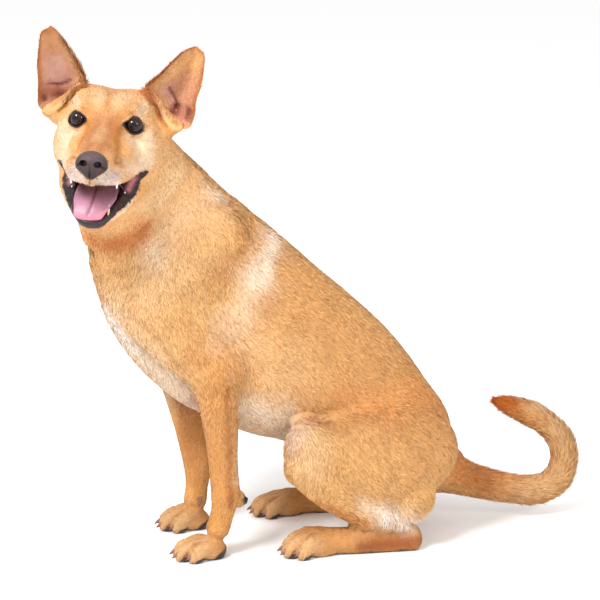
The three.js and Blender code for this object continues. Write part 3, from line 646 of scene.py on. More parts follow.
def bareness(points, reach=0.0):
    """1 on naked skin (lids, lips, mouth, nose and pads) and 0 where hair grows, or within a reach of it."""
    bare = share(points[:, 2], 3.0 + reach, 1.5)
    for side in (LEFT, RIGHT):
        pad = (-88 + foreleg_lean(side, 78), side * (62 + foreleg_spread(side, 78)), 79)
        away = np.linalg.norm((points - pad) / (9, 9, 10), axis=1)
        bare = np.maximum(bare, share(away, 1.1 + reach / 8, 0.95))
    for name, paw in PAWS.items():
        if name.startswith("fore"):
            away = np.linalg.norm((paw.inside(points) - (-26, 0, 2)) / (15, 24, 13), axis=1)
            bare = np.maximum(bare, share(away, 1.15 + reach / 10, 1.0))
    near = np.linalg.norm(points - HEAD_AT, axis=1) < 200
    if near.any():
        local = in_head(points[near])
        lids = np.minimum(eye_opening(local, 1)[0], eye_opening(local, -1)[0])
        naked = share(lids, 3.4 + 2 * reach, 2.2) * (local[:, 0] > -25)
        naked = np.maximum(naked, share(nose_distance(points[near]), 1.0 + reach, 0.2))
        band = 2.8 + 1.8 * share(local[:, 0], 40, 10)
        lip = share(MOUTH.distance(local) - band, reach, -1.0) * share(local[:, 0], -13, -8)
        above, below = lower_lip(local)
        lip = np.maximum(lip, below * share(above, -0.7 - reach, 0.5))
        bare[near] = np.maximum(bare[near], np.maximum(naked, lip))
    return bare


COAT_DEPTH = {"body": 2.6, "neck": 3.2, "head": 1.2, "legs": 1.6, "feet": 1.2, "tail": 5.0}


def coat_depth(points):
    """How far the skin lies below the tips of the coat."""
    depth = np.full(len(points), COAT_DEPTH["body"])
    for mask, part in (
        (share(points[:, 2], 400, 450), "neck"),
        (head_share(points), "head"),
        (forelegs_share(points), "legs"),
        (share(points[:, 2], 45, 30), "feet"),
    ):
        depth += (COAT_DEPTH[part] - depth) * mask
    depth += (COAT_DEPTH["tail"] - depth) * tail_share(points)
    return depth * (1 - bareness(points, 2.5))


def skin_distance(points):
    return flesh_distance(points) + coat_depth(points)


def slope_of(field, points, here, step=0.3):
    return np.stack([(field(points + axis) - here) / step for axis in np.eye(3) * step], axis=1)


def settled(points, field, rounds=3, most=5.0):
    """Moves places along the slope of a field until they lie on its surface."""
    points = points.copy()
    for _ in range(rounds):
        here = field(points)
        slope = slope_of(field, points, here)
        steep = np.maximum((slope**2).sum(1), 0.3)
        move = -(here / steep)[:, None] * slope
        size = np.linalg.norm(move, axis=1)[:, None]
        points += move * np.minimum(1, most / np.maximum(size, 1e-9))
    return points


# ---------------------------------------------------------------- the ears

# The free edges of each ear's cup, from its lowest point up to its tip: how far each point is forward, aside
# and up in the head's frame. The two ears differ, as the dog turns them.
EAR_RIMS = {
    1: (
        ((-50, 77, -16), (-47, 65, -2), (-46, 56, 15), (-50, 39, 32), (-55, 58, 57), (-62, 71, 72),
         (-70, 82, 84), (-77, 93, 90)),
        ((-58, 88, -17), (-62, 99, -9), (-64, 103, 7), (-66, 103, 24), (-69, 107, 41), (-72, 108, 59),
         (-75, 108, 76), (-78, 104, 89)),
    ),
    -1: (
        ((-50, 77, -12), (-47, 63, 0), (-46, 55, 11), (-50, 37, 32), (-55, 47, 54), (-62, 60, 70),
         (-70, 75, 86), (-77, 86, 94)),
        ((-58, 85, -14), (-62, 95, -5), (-64, 97, 11), (-66, 98, 27), (-69, 101, 45), (-72, 101, 62),
         (-75, 101, 78), (-78, 98, 93)),
    ),
}
EAR_DEPTH = (4, 20, 30, 32, 27, 20, 12, 5)  # how far the cup reaches behind its edges


EAR_CREASE = {
    1: ((0.20, 0.45), (0.38, 0.39), (0.45, 0.32), (0.38, 0.25)),
    -1: ((0.74, 0.37), (0.50, 0.355), (0.20, 0.40)),
}
# Folds on the inside of each ear: how deep and how wide, and their line in across and rise: the crease over
# the opening of the ear, the opening, and the small pouch on the outer edge.
EAR_FOLDS = {
    1: (
        (2.2, 1.6, EAR_CREASE[1]),
        (5.0, 5.0, ((0.38, 0.26), (0.15, 0.20), (-0.15, 0.17))),
        (3.0, 3.0, ((0.80, 0.30), (0.80, 0.20))),
    ),
    -1: (
        (2.2, 1.6, EAR_CREASE[-1]),
        (5.0, 5.0, ((0.35, 0.24), (-0.10, 0.25))),
        (3.0, 3.0, ((0.84, 0.26), (0.80, 0.17))),
    ),
}


def ear_away(across, rise, line):
    """Millimetres from places on an ear to a line on it."""
    flat = np.stack([across * 22, rise * 110, np.zeros(len(across))], axis=1)
    return away_from(flat, np.array([(a * 22, r * 110, 0) for a, r in line]))


def ear_surface(side, across, rise, raised):
    """Places on an ear, in the head's frame. across runs from -1 on the inner edge to 1 on the outer one,
    rise from 0 at the lowest point to 1 at the tip, and raised is how far in front of the middle of the
    skin."""
    lines = (*EAR_RIMS[side], [(deep, 0, 0) for deep in EAR_DEPTH])
    rows = [through(line, 8, even=True) for line in lines]
    at = np.clip(rise, 0, 1) * (len(rows[0]) - 1)
    first = np.minimum(at.astype(int), len(rows[0]) - 2)
    part = (at - first)[:, None]
    inner, outer, depth = (row[first] * (1 - part) + row[first + 1] * part for row in rows)
    half = (outer - inner) / 2
    back = np.array([-0.93, -0.1, -0.05]) - 0.3 * half / np.linalg.norm(half, axis=1)[:, None]
    back /= np.linalg.norm(back, axis=1)[:, None]
    behind = depth[:, 0] * (1 - np.abs(across) ** 2.4) - raised
    for depth, width, line in EAR_FOLDS[side]:
        behind += depth * np.exp(-((ear_away(across, rise, line) / width) ** 2))
    place = inner + half * (1 + across[:, None]) + back * behind[:, None]
    return place * (1, side, 1)


def ear_object(side):
    """One ear as a closed, cupped leaf, made from a ball."""
    bm = bmesh.new()
    bmesh.ops.create_uvsphere(bm, u_segments=96, v_segments=72, radius=1)
    at = np.array([v.co for v in bm.verts])
    ring = np.sqrt(np.maximum(1 - at[:, 2] ** 2, 0))
    across = np.divide(at[:, 0], ring, out=np.zeros(len(at)), where=ring > 1e-6)
    front = np.divide(at[:, 1], ring, out=np.zeros(len(at)), where=ring > 1e-6)
    rise = 0.5 + np.arcsin(np.clip(at[:, 2], -1, 1)) / math.pi
    narrow = np.minimum(ring * 4.5, 1)
    thick = EAR_THICKNESS * (1 - 0.4 * rise) * np.minimum(ring * 2.5, 1)
    place = ear_surface(side, across * narrow, rise, front * thick / 2)
    for vert, co in zip(bm.verts, to_scene(out_of_head(place))):
        vert.co = co
    bmesh.ops.recalc_face_normals(bm, faces=bm.faces)
    return object_from(bm, f"ear_leaf_{side}")


def ear_samples():
    """Places all over both ears, in the head's frame, each with its across, its rise, 1 on the inside and
    the step from it towards the tip."""
    across, rise, raised = (grid.ravel() for grid in np.meshgrid(
        np.linspace(-1, 1, 65), np.linspace(0, 1, 45), (-EAR_THICKNESS / 2, EAR_THICKNESS / 2)))
    rows = []
    for side in (1, -1):
        place = ear_surface(side, across, rise, raised)
        ahead = ear_surface(side, across, rise + 0.01, raised) - place
        rows.append(np.column_stack([place, across, rise, raised > 0, ahead]))
    return np.vstack(rows)


EAR_SAMPLES = ear_samples()
EAR_TREE = KDTree(len(EAR_SAMPLES))
for number, row in enumerate(EAR_SAMPLES):
    EAR_TREE.insert(row[:3], number)
EAR_TREE.balance()


def on_ear(local):
    """For places in the head's frame: across, rise and inside of the nearest place on an ear, the direction
    up the ear there, and how much the place belongs to the ear."""
    found = np.zeros((len(local), 7))
    near = np.flatnonzero((np.abs(local[:, 1]) > 30) & (local[:, 0] < -30) & (local[:, 2] > -30))
    for i in near:
        _, index, away = EAR_TREE.find(local[i])
        found[i, :6] = EAR_SAMPLES[index, 3:]
        found[i, 6] = away < 4.5
    return found


# ---------------------------------------------------------------- nose, tongue, teeth and claws

NOSE_LEATHER = NOSE_HALF * (1.0, 0.93, 1.02)
NOSE_WINGS = [Mass((95, s * 11, -27), (9, 7, 8.5)) for s in (1, -1)]
NOSTRIL_AT = (8.8, -24.5)  # aside and up
NOSTRIL_RADIUS = 3.6
NOSTRIL_SLIT = ((9.0, -25.5, 0), (14.0, -27.0, 0), (18.5, -30.0, 0))
NOSE_GROOVE = ((104.8, 0, -25), (104.4, 0, -32), (102.5, 0, -37), (100, 0, -42), (98, 0, -46))


def nose_distance(points):
    """The leather of the nose: broad above and narrow below, with a groove down its middle."""
    local = in_head(points)
    shaped = local.copy()
    low_down = share(NOSE_AT[2] - 3 - local[:, 2], 0, 16)
    shaped[:, 1] *= 1 + 0.8 * low_down
    shaped[:, 0] -= low_down
    value = Mass(NOSE_AT - (0, 0, 1.8), NOSE_LEATHER).distance(shaped)
    for wing in NOSE_WINGS:
        value = blend(value, wing.distance(local), 6)
    press(value, local, 1.8, 1.1, NOSE_GROOVE)
    return value


def nostril_hollow(local):
    """How dark places on the nose are painted, as shade in a nostril or in the slit that runs out from it,
    and how deep.
    """
    aside = np.abs(local[:, 1])
    flat = np.stack([aside, local[:, 2], np.zeros(len(local))], axis=1)
    opening = np.hypot((aside - NOSTRIL_AT[0]) / 1.2, local[:, 2] - NOSTRIL_AT[1])
    hole = share(opening, NOSTRIL_RADIUS + 0.5, NOSTRIL_RADIUS - 0.9)
    slit = share(away_from(flat, NOSTRIL_SLIT), 1.7, 0.7)
    return np.maximum(hole, 0.7 * slit) * share(local[:, 0], 82, 88), np.maximum(hole, 0.35 * slit)


TONGUE = Limb([
    (-8, 0, -74, 22, 6.5),
    (20, 0, -80, 26, 7),
    (40, -1, -87, 25, 6.5),
    (51, -2, -94, 22, 6),
    (58, -4, -102, 19, 5.5),
    (62, -5, -110, 15, 4.5),
])

# Each tooth on one side of the jaws: where its root is, how long and how thick it is, and whether it points
# up.
TEETH = (
    ((63, 28, -49), 16, 4.2, False),
    ((44, 31, -54), 7, 3.2, False),
    ((32, 34, -55), 7, 3.4, False),
    ((50, 19, -100), 11, 3.4, True),
    ((17, 33, -88), 8, 3.6, True),
)
CLAW_LENGTH = 15.0
CLAW_ROOT = 5.0
DEWCLAW_AT = (-20, 18, 48)


def ball(columns, rows):
    """The vertices of a unit ball with poles on its z axis, and its faces."""
    bm = bmesh.new()
    bmesh.ops.create_uvsphere(bm, u_segments=columns, v_segments=rows, radius=1)
    bm.verts.index_update()
    verts = np.array([v.co for v in bm.verts])
    faces = [tuple(v.index for v in face.verts) for face in bm.faces]
    bm.free()
    return verts, faces


def tooth(at, length, root, up, side):
    """The places of a tooth's vertices in the head's frame: a cone that curves back, from inside the gum."""
    verts, faces = ball(14, 10)
    along = (verts[:, 2] + 1) / 2
    ring = np.hypot(verts[:, 0], verts[:, 1])
    level = np.maximum(np.sqrt(1 - verts[:, 2] ** 2), 1e-6)
    wide = root * (1 - 0.75 * along) / level * np.minimum(ring * 2, 1)
    x = verts[:, 0] * wide - 0.25 * length * along**2 * (0 if up else 1)
    rise = (along * (length + 5) - 5) * (1 if up else -1)
    return np.array(at) * (1, side, 1) + np.stack([x, verts[:, 1] * wide * 0.75, rise], axis=1), faces


def claw(length):
    """The places of a claw's vertices, out from its root along x and bent down."""
    verts, faces = ball(18, 14)
    along = (verts[:, 2] + 1) / 2
    ring = np.hypot(verts[:, 0], verts[:, 1]) * (1 - along * 0.65) * CLAW_ROOT
    turn = np.arctan2(verts[:, 1], verts[:, 0])
    down = 0.42 * length * along * along
    return np.stack([along * length, np.cos(turn) * ring * 0.8, np.sin(turn) * ring - down], axis=1), faces


def turned(points, degrees, axis):
    """Places turned about the z axis (axis 2) or down about the y axis (axis 1)."""
    cos, sin = math.cos(math.radians(degrees)), math.sin(math.radians(degrees))
    x, y, z = np.transpose(points)
    if axis == 2:
        return np.stack([x * cos - y * sin, x * sin + y * cos, z], axis=1)
    return np.stack([x * cos + z * sin, y, -x * sin + z * cos], axis=1)


# ---------------------------------------------------------------- markings and the lie of the coat


def linear(hex_colour):
    """An sRGB hex colour as linear red, green and blue."""
    values = [int(hex_colour[i:i + 2], 16) / 255 for i in (1, 3, 5)]
    return tuple(v / 12.92 if v <= 0.04045 else ((v + 0.055) / 1.055) ** 2.4 for v in values)


def hue(hex_colour):
    return np.array(linear(hex_colour))


COAT_SHADE = np.array([0.775, 0.76, 0.80])  # how much darker the whole coat lies than its named colours
RUSTY_SHARE, RUSTY_HAIR = 0.20, (0.82, 0.70, 0.54)  # how many of the hairs are rusty, and their tint
PALE_HAIR = (1.05, 1.08, 1.14)  # the tint of the others
PALETTE = {name: hue(colour) for name, colour in {
    "tan": "#dba664",
    "brown": "#cd9152",
    "rust": "#c46412",
    # painted shade, for creases, grooves, the gaps between the toes and sides that the light misses
    "shade": "#9a5526",
    "gold": "#dd9a4c",
    "pale": "#f0cc98",
    "cream": "#f2dcbc",
    "white": "#f8f2ea",
    "grey": "#8a7468",
    "pink": "#dcb4a2",
    "face": "#ebb576",
    "bridge": "#ae6d40",
    "streak": "#c1772f",
    "muzzle": "#dcc8b8",
    "black": "#261c1d",
    "lip grey and sheen": "#45373c",
    "lip inside": "#4a2a2c",
    "gum": "#c9787e",
    # painted shade deep in the mouth
    "throat": "#4a1c1e",
    "ear": "#c08870",
    "ear top": "#cd9862",
    "ear back": "#d29350",
    "ear edge": "#ab6430",
    "ear fringe": "#dcae78",
    "ear mauve": "#cb9a8c",
    "ear flesh": "#ab6450",
    "painted ear shade": "#64302a",
}.items()}

# The same soft strokes as below, inside the ears, by their width in millimetres and their line in across and
# rise.
EAR_STROKES = {
    1: (
        # painted light over the upper inside of the left ear
        ("ear top", 0.5, 14, ((0.30, 0.45), (0.20, 0.75))),
        ("ear mauve", 0.7, 7, ((0.15, 0.42), (0.20, 0.34))),
        ("ear flesh", 0.2, 7, ((0.55, 0.60), (0.55, 0.45))),
        ("ear flesh", 0.8, 8, ((0.40, 0.22), (0.0, 0.18))),
        # painted shade in the opening of the ear, the crease over it and the pouch on its edge
        ("painted ear shade", 0.85, 3.6, ((0.42, 0.30), (0.30, 0.22), (-0.15, 0.17))),
        ("painted ear shade", 0.8, 1.5, EAR_CREASE[1]),
        ("painted ear shade", 0.8, 2.6, ((0.84, 0.30), (0.80, 0.20))),
        ("rust", 0.6, 5, ((-0.75, 0.50), (-0.70, 0.34))),
    ),
    -1: (
        # painted shade over the upper inside of the right ear
        ("ear flesh", 0.4, 30, ((0.20, 0.45), (0.20, 0.85))),
        ("ear mauve", 0.85, 7, ((0.48, 0.60), (0.55, 0.50), (0.60, 0.42))),
        ("ear flesh", 0.8, 8, ((0.65, 0.28), (0.20, 0.30))),
        # painted shade in the opening of the ear, the crease over it and the pouch on its edge
        ("painted ear shade", 0.9, 4.5, ((0.30, 0.24), (-0.06, 0.25))),
        ("painted ear shade", 0.8, 1.5, EAR_CREASE[-1]),
        ("painted ear shade", 0.8, 2.6, ((0.88, 0.25), (0.82, 0.19))),
        ("rust", 0.6, 5, ((-0.60, 0.50), (-0.50, 0.38))),
    ),
}

# On the naked skin of the mouth.
MOUTH_STROKES = (
    # the front of the black lower lip painted lighter grey, partly its own colour and partly a painted sheen
    ("lip grey and sheen", 0.8, 9, ((58, -8, -116), (60, 4, -115), (54, 18, -109))),
    ("lip inside", 0.8, 4, ((44, 22, -95), (30, 30, -89), (20, 34, -86))),
    ("gum", 0.95, 4, ((-2, 41, -65), (3, 39, -71), (12, 37, -78))),
    ("gum", 0.7, 4, ((-2, -41, -65), (3, -39, -71), (12, -37, -78))),
)

# Soft strokes of colour over the body: colour, strength, half width, and the line that they follow. Each
# lies on both sides of the dog. The strokes in the colour named shade, and the others marked below, are
# painted shade.
STROKES = (
    ("brown", 0.6, 70, ((-60, 60, 400), (20, 70, 300), (100, 60, 220))),
    ("rust", 0.35, 50, ((150, 60, 200), (190, 40, 150), (215, 15, 95))),
    ("brown", 0.5, 26, ((-89, 54, 450), (-100, 69, 412), (-125, 80, 396))),
    ("pale", 0.4, 34, ((-188, 87, 413), (-215, 80, 380))),
    ("pale", 0.2, 40, ((-100, 85, 320), (-70, 86, 280), (-40, 86, 262))),
    ("brown", 0.4, 30, ((126, 121, 150), (126, 121, 130))),
    ("cream", 0.9, 19, ((-44, 30, 428), (-49, 37, 422), (-63, 61, 399), (-72, 68, 385))),
    ("cream", 0.4, 25, ((-79, 73, 375), (-95, 79, 350), (-114, 84, 325), (-122, 92, 300))),
    ("cream", 0.8, 30, ((-80, 60, 205), (-40, 50, 185), (0, 40, 160))),
    ("cream", 0.8, 36, ((-100, 30, 200), (-40, 0, 150), (40, 0, 110))),
    ("cream", 1.0, 21, ((-160, 78, 480), (-177, 77, 473), (-196, 80, 455), (-212, 79, 438))),
    ("cream", 0.9, 21, ((-144, 56, 494), (-124, 50, 487))),
    ("cream", 0.8, 15, ((-138, 58, 496), (-150, 60, 512))),
    ("cream", 0.6, 12, ((-212, 79, 436), (-206, 80, 422))),
    ("rust", 0.5, 6, NECK_CREASE),
    ("cream", 0.85, 38, ((-256, 20, 318), (-235, 32, 292), (-216, 36, 269), (-190, 33, 236),
                         (-170, 32, 216))),
    ("pale", 0.75, 24, ((-251, 52, 340), (-238, 66, 322), (-222, 72, 302), (-205, 68, 276), (-178, 50, 238))),
    ("white", 0.5, 9, ((-266, 16, 344), (-259, 23, 328), (-246, 26, 305), (-234, 26, 284))),
    # painted shade in the chest crease
    ("shade", 0.4, 5, CHEST_CREASE),
    # painted shade along the fold above the elbow
    ("brown", 0.8, 15, ((-168, 98, 293), (-150, 100, 284), (-136, 101, 281), (-120, 98, 288))),
    ("pink", 0.6, 6, ((-116, 99, 266), (-116, 99, 260))),
    ("gold", 0.8, 30, ((-130, 90, 250), (-125, 80, 150), (-125, 75, 60))),
    # painted shadow on the inner side of the forelegs, under the chest, here and on the next line
    ("shade", 0.75, 18, ((-165, 50, 260), (-146, 48, 150), (-138, 48, 110))),
    ("shade", 0.35, 15, ((-138, 48, 100), (-132, 48, 60))),
    ("brown", 0.8, 26, ((-125, 72, 300), (-125, 75, 150), (-125, 72, 80))),
    # painted shade low on the hocks, next to the floor
    ("shade", 0.9, 13, ((60, 104, 12), (100, 107, 14), (138, 100, 16))),
    ("rust", 0.25, 13, ((80, 104, 14), (110, 107, 16), (138, 100, 18))),
    # more painted shade low on the hocks
    ("shade", 0.5, 16, ((90, 104, 16), (112, 107, 18), (138, 100, 20))),
    # painted shade in the groove down the back of the forelegs
    ("shade", 0.8, 5, ((-120, 94, 245), (-117, 88, 185), (-114, 80, 141), (-112, 76, 99), (-113, 73, 78))),
    # painted shadow on the inner side of the hind feet
    ("shade", 0.5, 18, ((-30, 64, 24), (40, 66, 24), (90, 70, 24))),
    ("cream", 0.6, 20, ((-172, 42, 228), (-192, 50, 252))),
    ("cream", 0.5, 9, ((-98, 70, 170), (-98, 66, 110))),
    # painted shade in the fold between the flank and the thigh
    ("shade", 0.6, 5, ((-32, 53, 168), (-24, 69, 186), (-9, 78, 194), (18, 82, 200), (43, 88, 200),
                       (64, 94, 196))),
    ("rust", 0.3, 24, ((-5, 80, 206), (40, 88, 212), (80, 90, 200))),
    ("cream", 0.55, 14, ((-38, 100, 172), (-28, 101, 183))),
    ("tan", 0.7, 12, ((-14, 78, 200), (10, 80, 206))),
    ("pink", 0.45, 16, ((-36, 96, 186), (-40, 104, 168))),
    ("cream", 0.6, 12, ((58, 115, 74), (84, 112, 64))),
    ("pale", 0.5, 24, ((-10, 116, 176), (-20, 118, 140))),
    ("rust", 0.5, 7, ((-4, 112, 84), (26, 113, 64), (71, 111, 42))),
    ("cream", 0.95, 14, ((84, 111, 62), (112, 109, 51), (132, 100, 46))),
    ("white", 0.75, 12, ((98, 111, 55), (117, 106, 47))),
    ("rust", 0.45, 26, ((212, 20, 84), (262, 24, 58))),
    ("rust", 0.5, 20, ((250, 0, 62), (300, -4, 62), (345, -8, 66), (352, -6, 100), (335, 0, 132))),
    ("rust", 1.0, 22, ((314, 4, 162), (284, 11, 168))),
    ("gold", 0.7, 18, ((362, 10, 134), (336, 12, 150))),
    ("pale", 0.95, 15, ((245, -8, 34), (305, -10, 24), (345, -10, 20), (380, -10, 34), (398, -8, 70),
                       (396, -4, 110), (376, 2, 144), (352, 6, 160))),
    ("cream", 0.12, 26, ((310, 26, 46), (340, 26, 56), (372, 24, 84), (374, 18, 110))),
)

# The same on the head, in its own frame.
HEAD_STROKES = (
    ("bridge", 0.42, 34, ((0, 0, 20), (-38, 0, 32))),
    ("pale", 0.8, 20, ((-30, 80, -100), (-50, 86, -76))),
    ("pale", 0.4, 14, ((-17, 49, -107), (-30, 56, -100))),
    ("bridge", 0.88, 13, ((18, 8, 3), (50, 8, -4), (80, 8, -10))),
    ("pale", 0.3, 5, ((28, 3, 0), (60, 4, -6))),
    ("streak", 0.85, 8, ((10, 19, -2), (32, 18, -8), (50, 24, -18), (56, 28, -30))),
    ("streak", 0.5, 10, ((40, 22, -14), (66, 24, -24))),
    ("pale", 0.65, 12, ((-12, 12, 25), (-30, 16, 31))),
    ("streak", 0.55, 3.0, ((6, 2, 18), (-14, 1, 26), (-34, 2, 31))),
    ("streak", 0.5, 5, ((8, 14, 10), (2, 20, 13), (-8, 22, 17))),
    ("streak", 0.75, 2.6, ((-7, 32, 13), (1, 26, 14), (6, 20, 11))),
    ("cream", 0.6, 8, ((-14, 40, 14), (-30, 46, 16))),
    ("cream", 0.7, 13, ((8, 40, -20), (-10, 54, -20))),
    ("cream", 0.6, 12, ((4, 48, -42), (-6, 56, -46))),
    ("gold", 0.5, 3, ((24, 42, -30), (8, 52, -40))),
    ("cream", 0.6, 9, ((40, 36, -40), (18, 44, -50), (4, 51, -54))),
    ("muzzle", 0.9, 11, ((84, 20, -42), (70, 28, -47))),
    ("white", 0.6, 5, ((96, 8, -46), (84, 22, -52), (66, 30, -56))),
    # painted shade below and beside the nose, here and on the next line
    ("grey", 0.25, 9, ((86, 16, -38), (72, 27, -44))),
    ("grey", 0.45, 6, ((99, 5, -47), (90, 16, -52))),
    ("black", 0.85, 1.3, PHILTRUM),
    ("cream", 0.8, 3.5, ((14, 44, -86), (30, 34, -101), (48, 24, -109), (60, 8, -121))),
    ("gold", 0.5, 12, ((4, 52, -70), (-4, 56, -84))),
    ("gold", 0.4, 11, ((-85, 106, -68), (-62, 105, -80), (-41, 93, -96), (-28, 80, -115))),
    ("rust", 0.75, 12, ((-21, 59, -134), (-20, 54, -141), (-18, 46, -149), (-21, 25, -159), (-31, 0, -163))),
    # painted shade in the neck crease
    ("shade", 0.6, 3.2, ((-23, 66, -124), (-20, 54, -140), (-18, 44, -150))),
    ("rust", 0.45, 12, ((-60, 62, 20), (-66, 66, -10), (-70, 72, -30))),
)


def brush(colour, points, strokes):
    """Lays soft strokes over a colour, the same on both sides of the middle plane."""
    mirrored = points.copy()
    mirrored[:, 1] = np.abs(points[:, 1])
    for name, strength, width, line in strokes:
        line = np.asarray(line, float)
        centre, radius = line.mean(0), np.ptp(line, axis=0).max() + 2.2 * width
        near = np.linalg.norm(mirrored - centre, axis=1) < radius
        if near.any():
            wobble = 1 + 0.35 * grain(points[near], width * 0.9 + 4, len(line))
            away = away_from(mirrored[near], line) / (width * wobble)
            amount = strength * np.exp(-away * away)
            colour[near] += (PALETTE[name] - colour[near]) * amount[:, None]


def over(colour, paint, amount):
    """Lays a paint over a colour, by an amount from 0 to 1."""
    colour += (paint - colour) * amount[:, None]


def ear_colour(colour, local):
    """Paints the ears: tan behind, with rusty edges, and mauve and brown within, painted shade in their
    hollows, and the left ear painted lighter and the right one darker for the light that falls on them.
    """
    ear = on_ear(local)
    own = ear[:, 6] > 0
    if not own.any():
        return
    across, rise, inside = ear[own, :3].T
    paint = colour[own]
    over(paint, PALETTE["ear back"], 1 - inside)
    over(paint, PALETTE["ear"], inside)
    over(paint, PALETTE["ear top"], inside * 0.8 * share(rise, 0.5, 0.78))
    over(paint, PALETTE["ear fringe"], inside * 0.8 * share(across, 0.2, -0.15) * share(rise, 0.8, 0.6))
    over(paint, PALETTE["ear fringe"], inside * 0.8 * share(rise, 0.16, 0.08))
    side = np.sign(local[own, 1])
    for this_side in (1, -1):
        here = side == this_side
        for name, strength, width, line in EAR_STROKES[this_side]:
            away = ear_away(across[here], rise[here], line) / width
            mixed = paint[here]
            over(mixed, PALETTE[name], strength * np.exp(-away * away) * inside[here])
            paint[here] = mixed
    edge = np.maximum(share(np.abs(across), 0.84, 0.97), share(rise, 0.82, 0.95)) * share(rise, 0.08, 0.2)
    over(paint, PALETTE["ear edge"], 0.85 * edge)
    # The left ear is painted lighter and the right one darker: painted light and painted shade for how the
    # light falls on them.
    colour[own] = paint * np.where(side[:, None] > 0, (1.08, 1.08, 1.05), (0.84, 0.88, 0.85))


def whisker_spots(local):
    """1 on the small dark roots of the whiskers on the upper lip."""
    across = (local[:, 0] + 0.5 * local[:, 2]) / 6
    down = local[:, 2] / 4.5
    spot = np.hypot(across - np.round(across), down - np.round(down)) < 0.17
    lip = share(local[:, 0], 50, 58) * share(local[:, 2], -32, -36) * share(local[:, 2], -56, -52)
    return spot * lip


def markings(points):
    """The colour of skin and coat at places in the dog's frame, as linear red, green and blue, with painted
    shade in its creases, hollows and shaded sides.
    """
    local = in_head(points)
    head = head_share(points)
    colour = np.tile(PALETTE["tan"], (len(points), 1))
    brush(colour, points, STROKES)
    over(colour, PALETTE["face"], head * 0.8)
    brush(colour, local, HEAD_STROKES)
    colour *= (1 + 0.07 * grain(points, 34, 1) + 0.06 * grain(points, 12, 2))[:, None]
    over(colour, PALETTE["grey"], head * 0.6 * whisker_spots(local))
    for paw in PAWS.values():
        near = (points[:, 2] < 48) & (np.abs(points - paw.at).max(1) < 60)
        if near.any():
            own = paw.inside(points[near])
            mixed = colour[near]
            over(mixed, PALETTE["brown"], 0.8 * share(own[:, 2], 48, 30))
            over(mixed, PALETTE["pale"], 0.4 * share(own[:, 2], 38, 24) * share(own[:, 0], -25, 0))
            # painted shade in the gaps between the toes
            gap = np.minimum.reduce([away_from(own, line) for line in TOE_GAPS])
            over(mixed, PALETTE["shade"], 0.75 * np.exp(-((gap / 2.4) ** 2)))
            colour[near] = mixed
    colour *= COAT_SHADE
    ear_colour(colour, local)

    bare = bareness(points)
    if (bare > 0).any():
        own = bare > 0
        here = local[own]
        skin = np.tile(PALETTE["black"], (own.sum(), 1))
        at_head = np.linalg.norm(points[own] - HEAD_AT, axis=1) < 200
        mouth = MOUTH.distance(here)
        deep = -CLOSED_HEAD.distance(here)
        within = share(mouth, 2.5, 0.5) * at_head
        over(skin, PALETTE["lip inside"], within * share(deep, 3, 6))
        over(skin, PALETTE["gum"], within * share(deep, 9, 14))
        # deeper into the mouth the skin is painted dark: painted shade
        over(skin, PALETTE["throat"], within * share(deep, 20, 36))
        for name, strength, width, line in MOUTH_STROKES:
            away = away_from(here, line) / width
            over(skin, PALETTE[name], strength * np.exp(-away * away) * at_head)
        colour[own] = colour[own] * (1 - bare[own, None]) + skin * bare[own, None]
    return colour


# Which way the hair lies: places on the dog, and the direction there. Both sides are alike.
BODY_LIE = (
    ((-225, 30, 600), (0.5, 0.1, -0.85)),
    ((-150, 0, 500), (0.65, 0, -0.75)),
    ((-90, 0, 440), (0.72, 0, -0.7)),
    ((0, 0, 370), (0.75, 0, -0.66)),
    ((90, 0, 270), (0.7, 0, -0.7)),
    ((190, 0, 150), (0.6, 0, -0.8)),
    ((-180, 70, 500), (-0.15, 0, -1)),
    ((-215, 78, 440), (-0.35, 0, -0.95)),
    ((-290, 60, 480), (0.1, 0, -1)),
    ((-270, 0, 380), (0.1, 0, -1)),
    ((-235, 0, 300), (0.35, 0, -0.9)),
    ((-150, 90, 380), (0.25, 0, -0.95)),
    ((-150, 95, 300), (0.45, 0, -0.9)),
    ((-50, 95, 300), (0.8, 0, -0.6)),
    ((60, 90, 220), (0.75, 0, -0.65)),
    ((-60, 0, 170), (0.9, 0, -0.4)),
    ((-60, 60, 190), (0.6, 0, -0.8)),
    ((80, 120, 190), (0.5, 0, -0.85)),
    ((110, 125, 120), (0.75, 0, -0.65)),
    ((-10, 115, 130), (0.1, 0, -1)),
    ((170, 100, 100), (0.5, 0, -0.9)),
    ((40, 100, 70), (0.85, 0, -0.5)),
    ((60, 85, 20), (-1, 0, -0.1)),
    ((-125, 65, 200), (0.05, 0, -1)),
    ((-120, 65, 90), (0, 0, -1)),
    ((-160, 60, 20), (-1, 0, -0.5)),
    ((-30, 82, 20), (-1, 0, -0.5)),
)
HEAD_LIE = (
    ((60, 0, -10), (-1, 0, 0.15)),
    ((-10, 0, 25), (-1, 0, 0.3)),
    ((-60, 0, 35), (-1, 0, -0.3)),
    ((-20, 55, -30), (-0.8, 0.3, -0.5)),
    ((20, 30, -25), (-0.9, 0.3, -0.2)),
    ((60, 22, -40), (-0.8, 0.3, -0.5)),
    ((0, 50, -80), (-0.7, 0.1, -0.6)),
    ((45, 0, -118), (-1, 0, -0.2)),
    ((-20, 0, -110), (-0.8, 0, -0.6)),
    ((-50, 60, -70), (-0.5, 0.2, -0.8)),
    ((-60, 55, 20), (-0.3, 0.3, 0.9)),
    ((-70, 80, 60), (-0.2, 0.3, 0.95)),
    ((-70, 100, 30), (-0.2, 0.1, 0.95)),
)


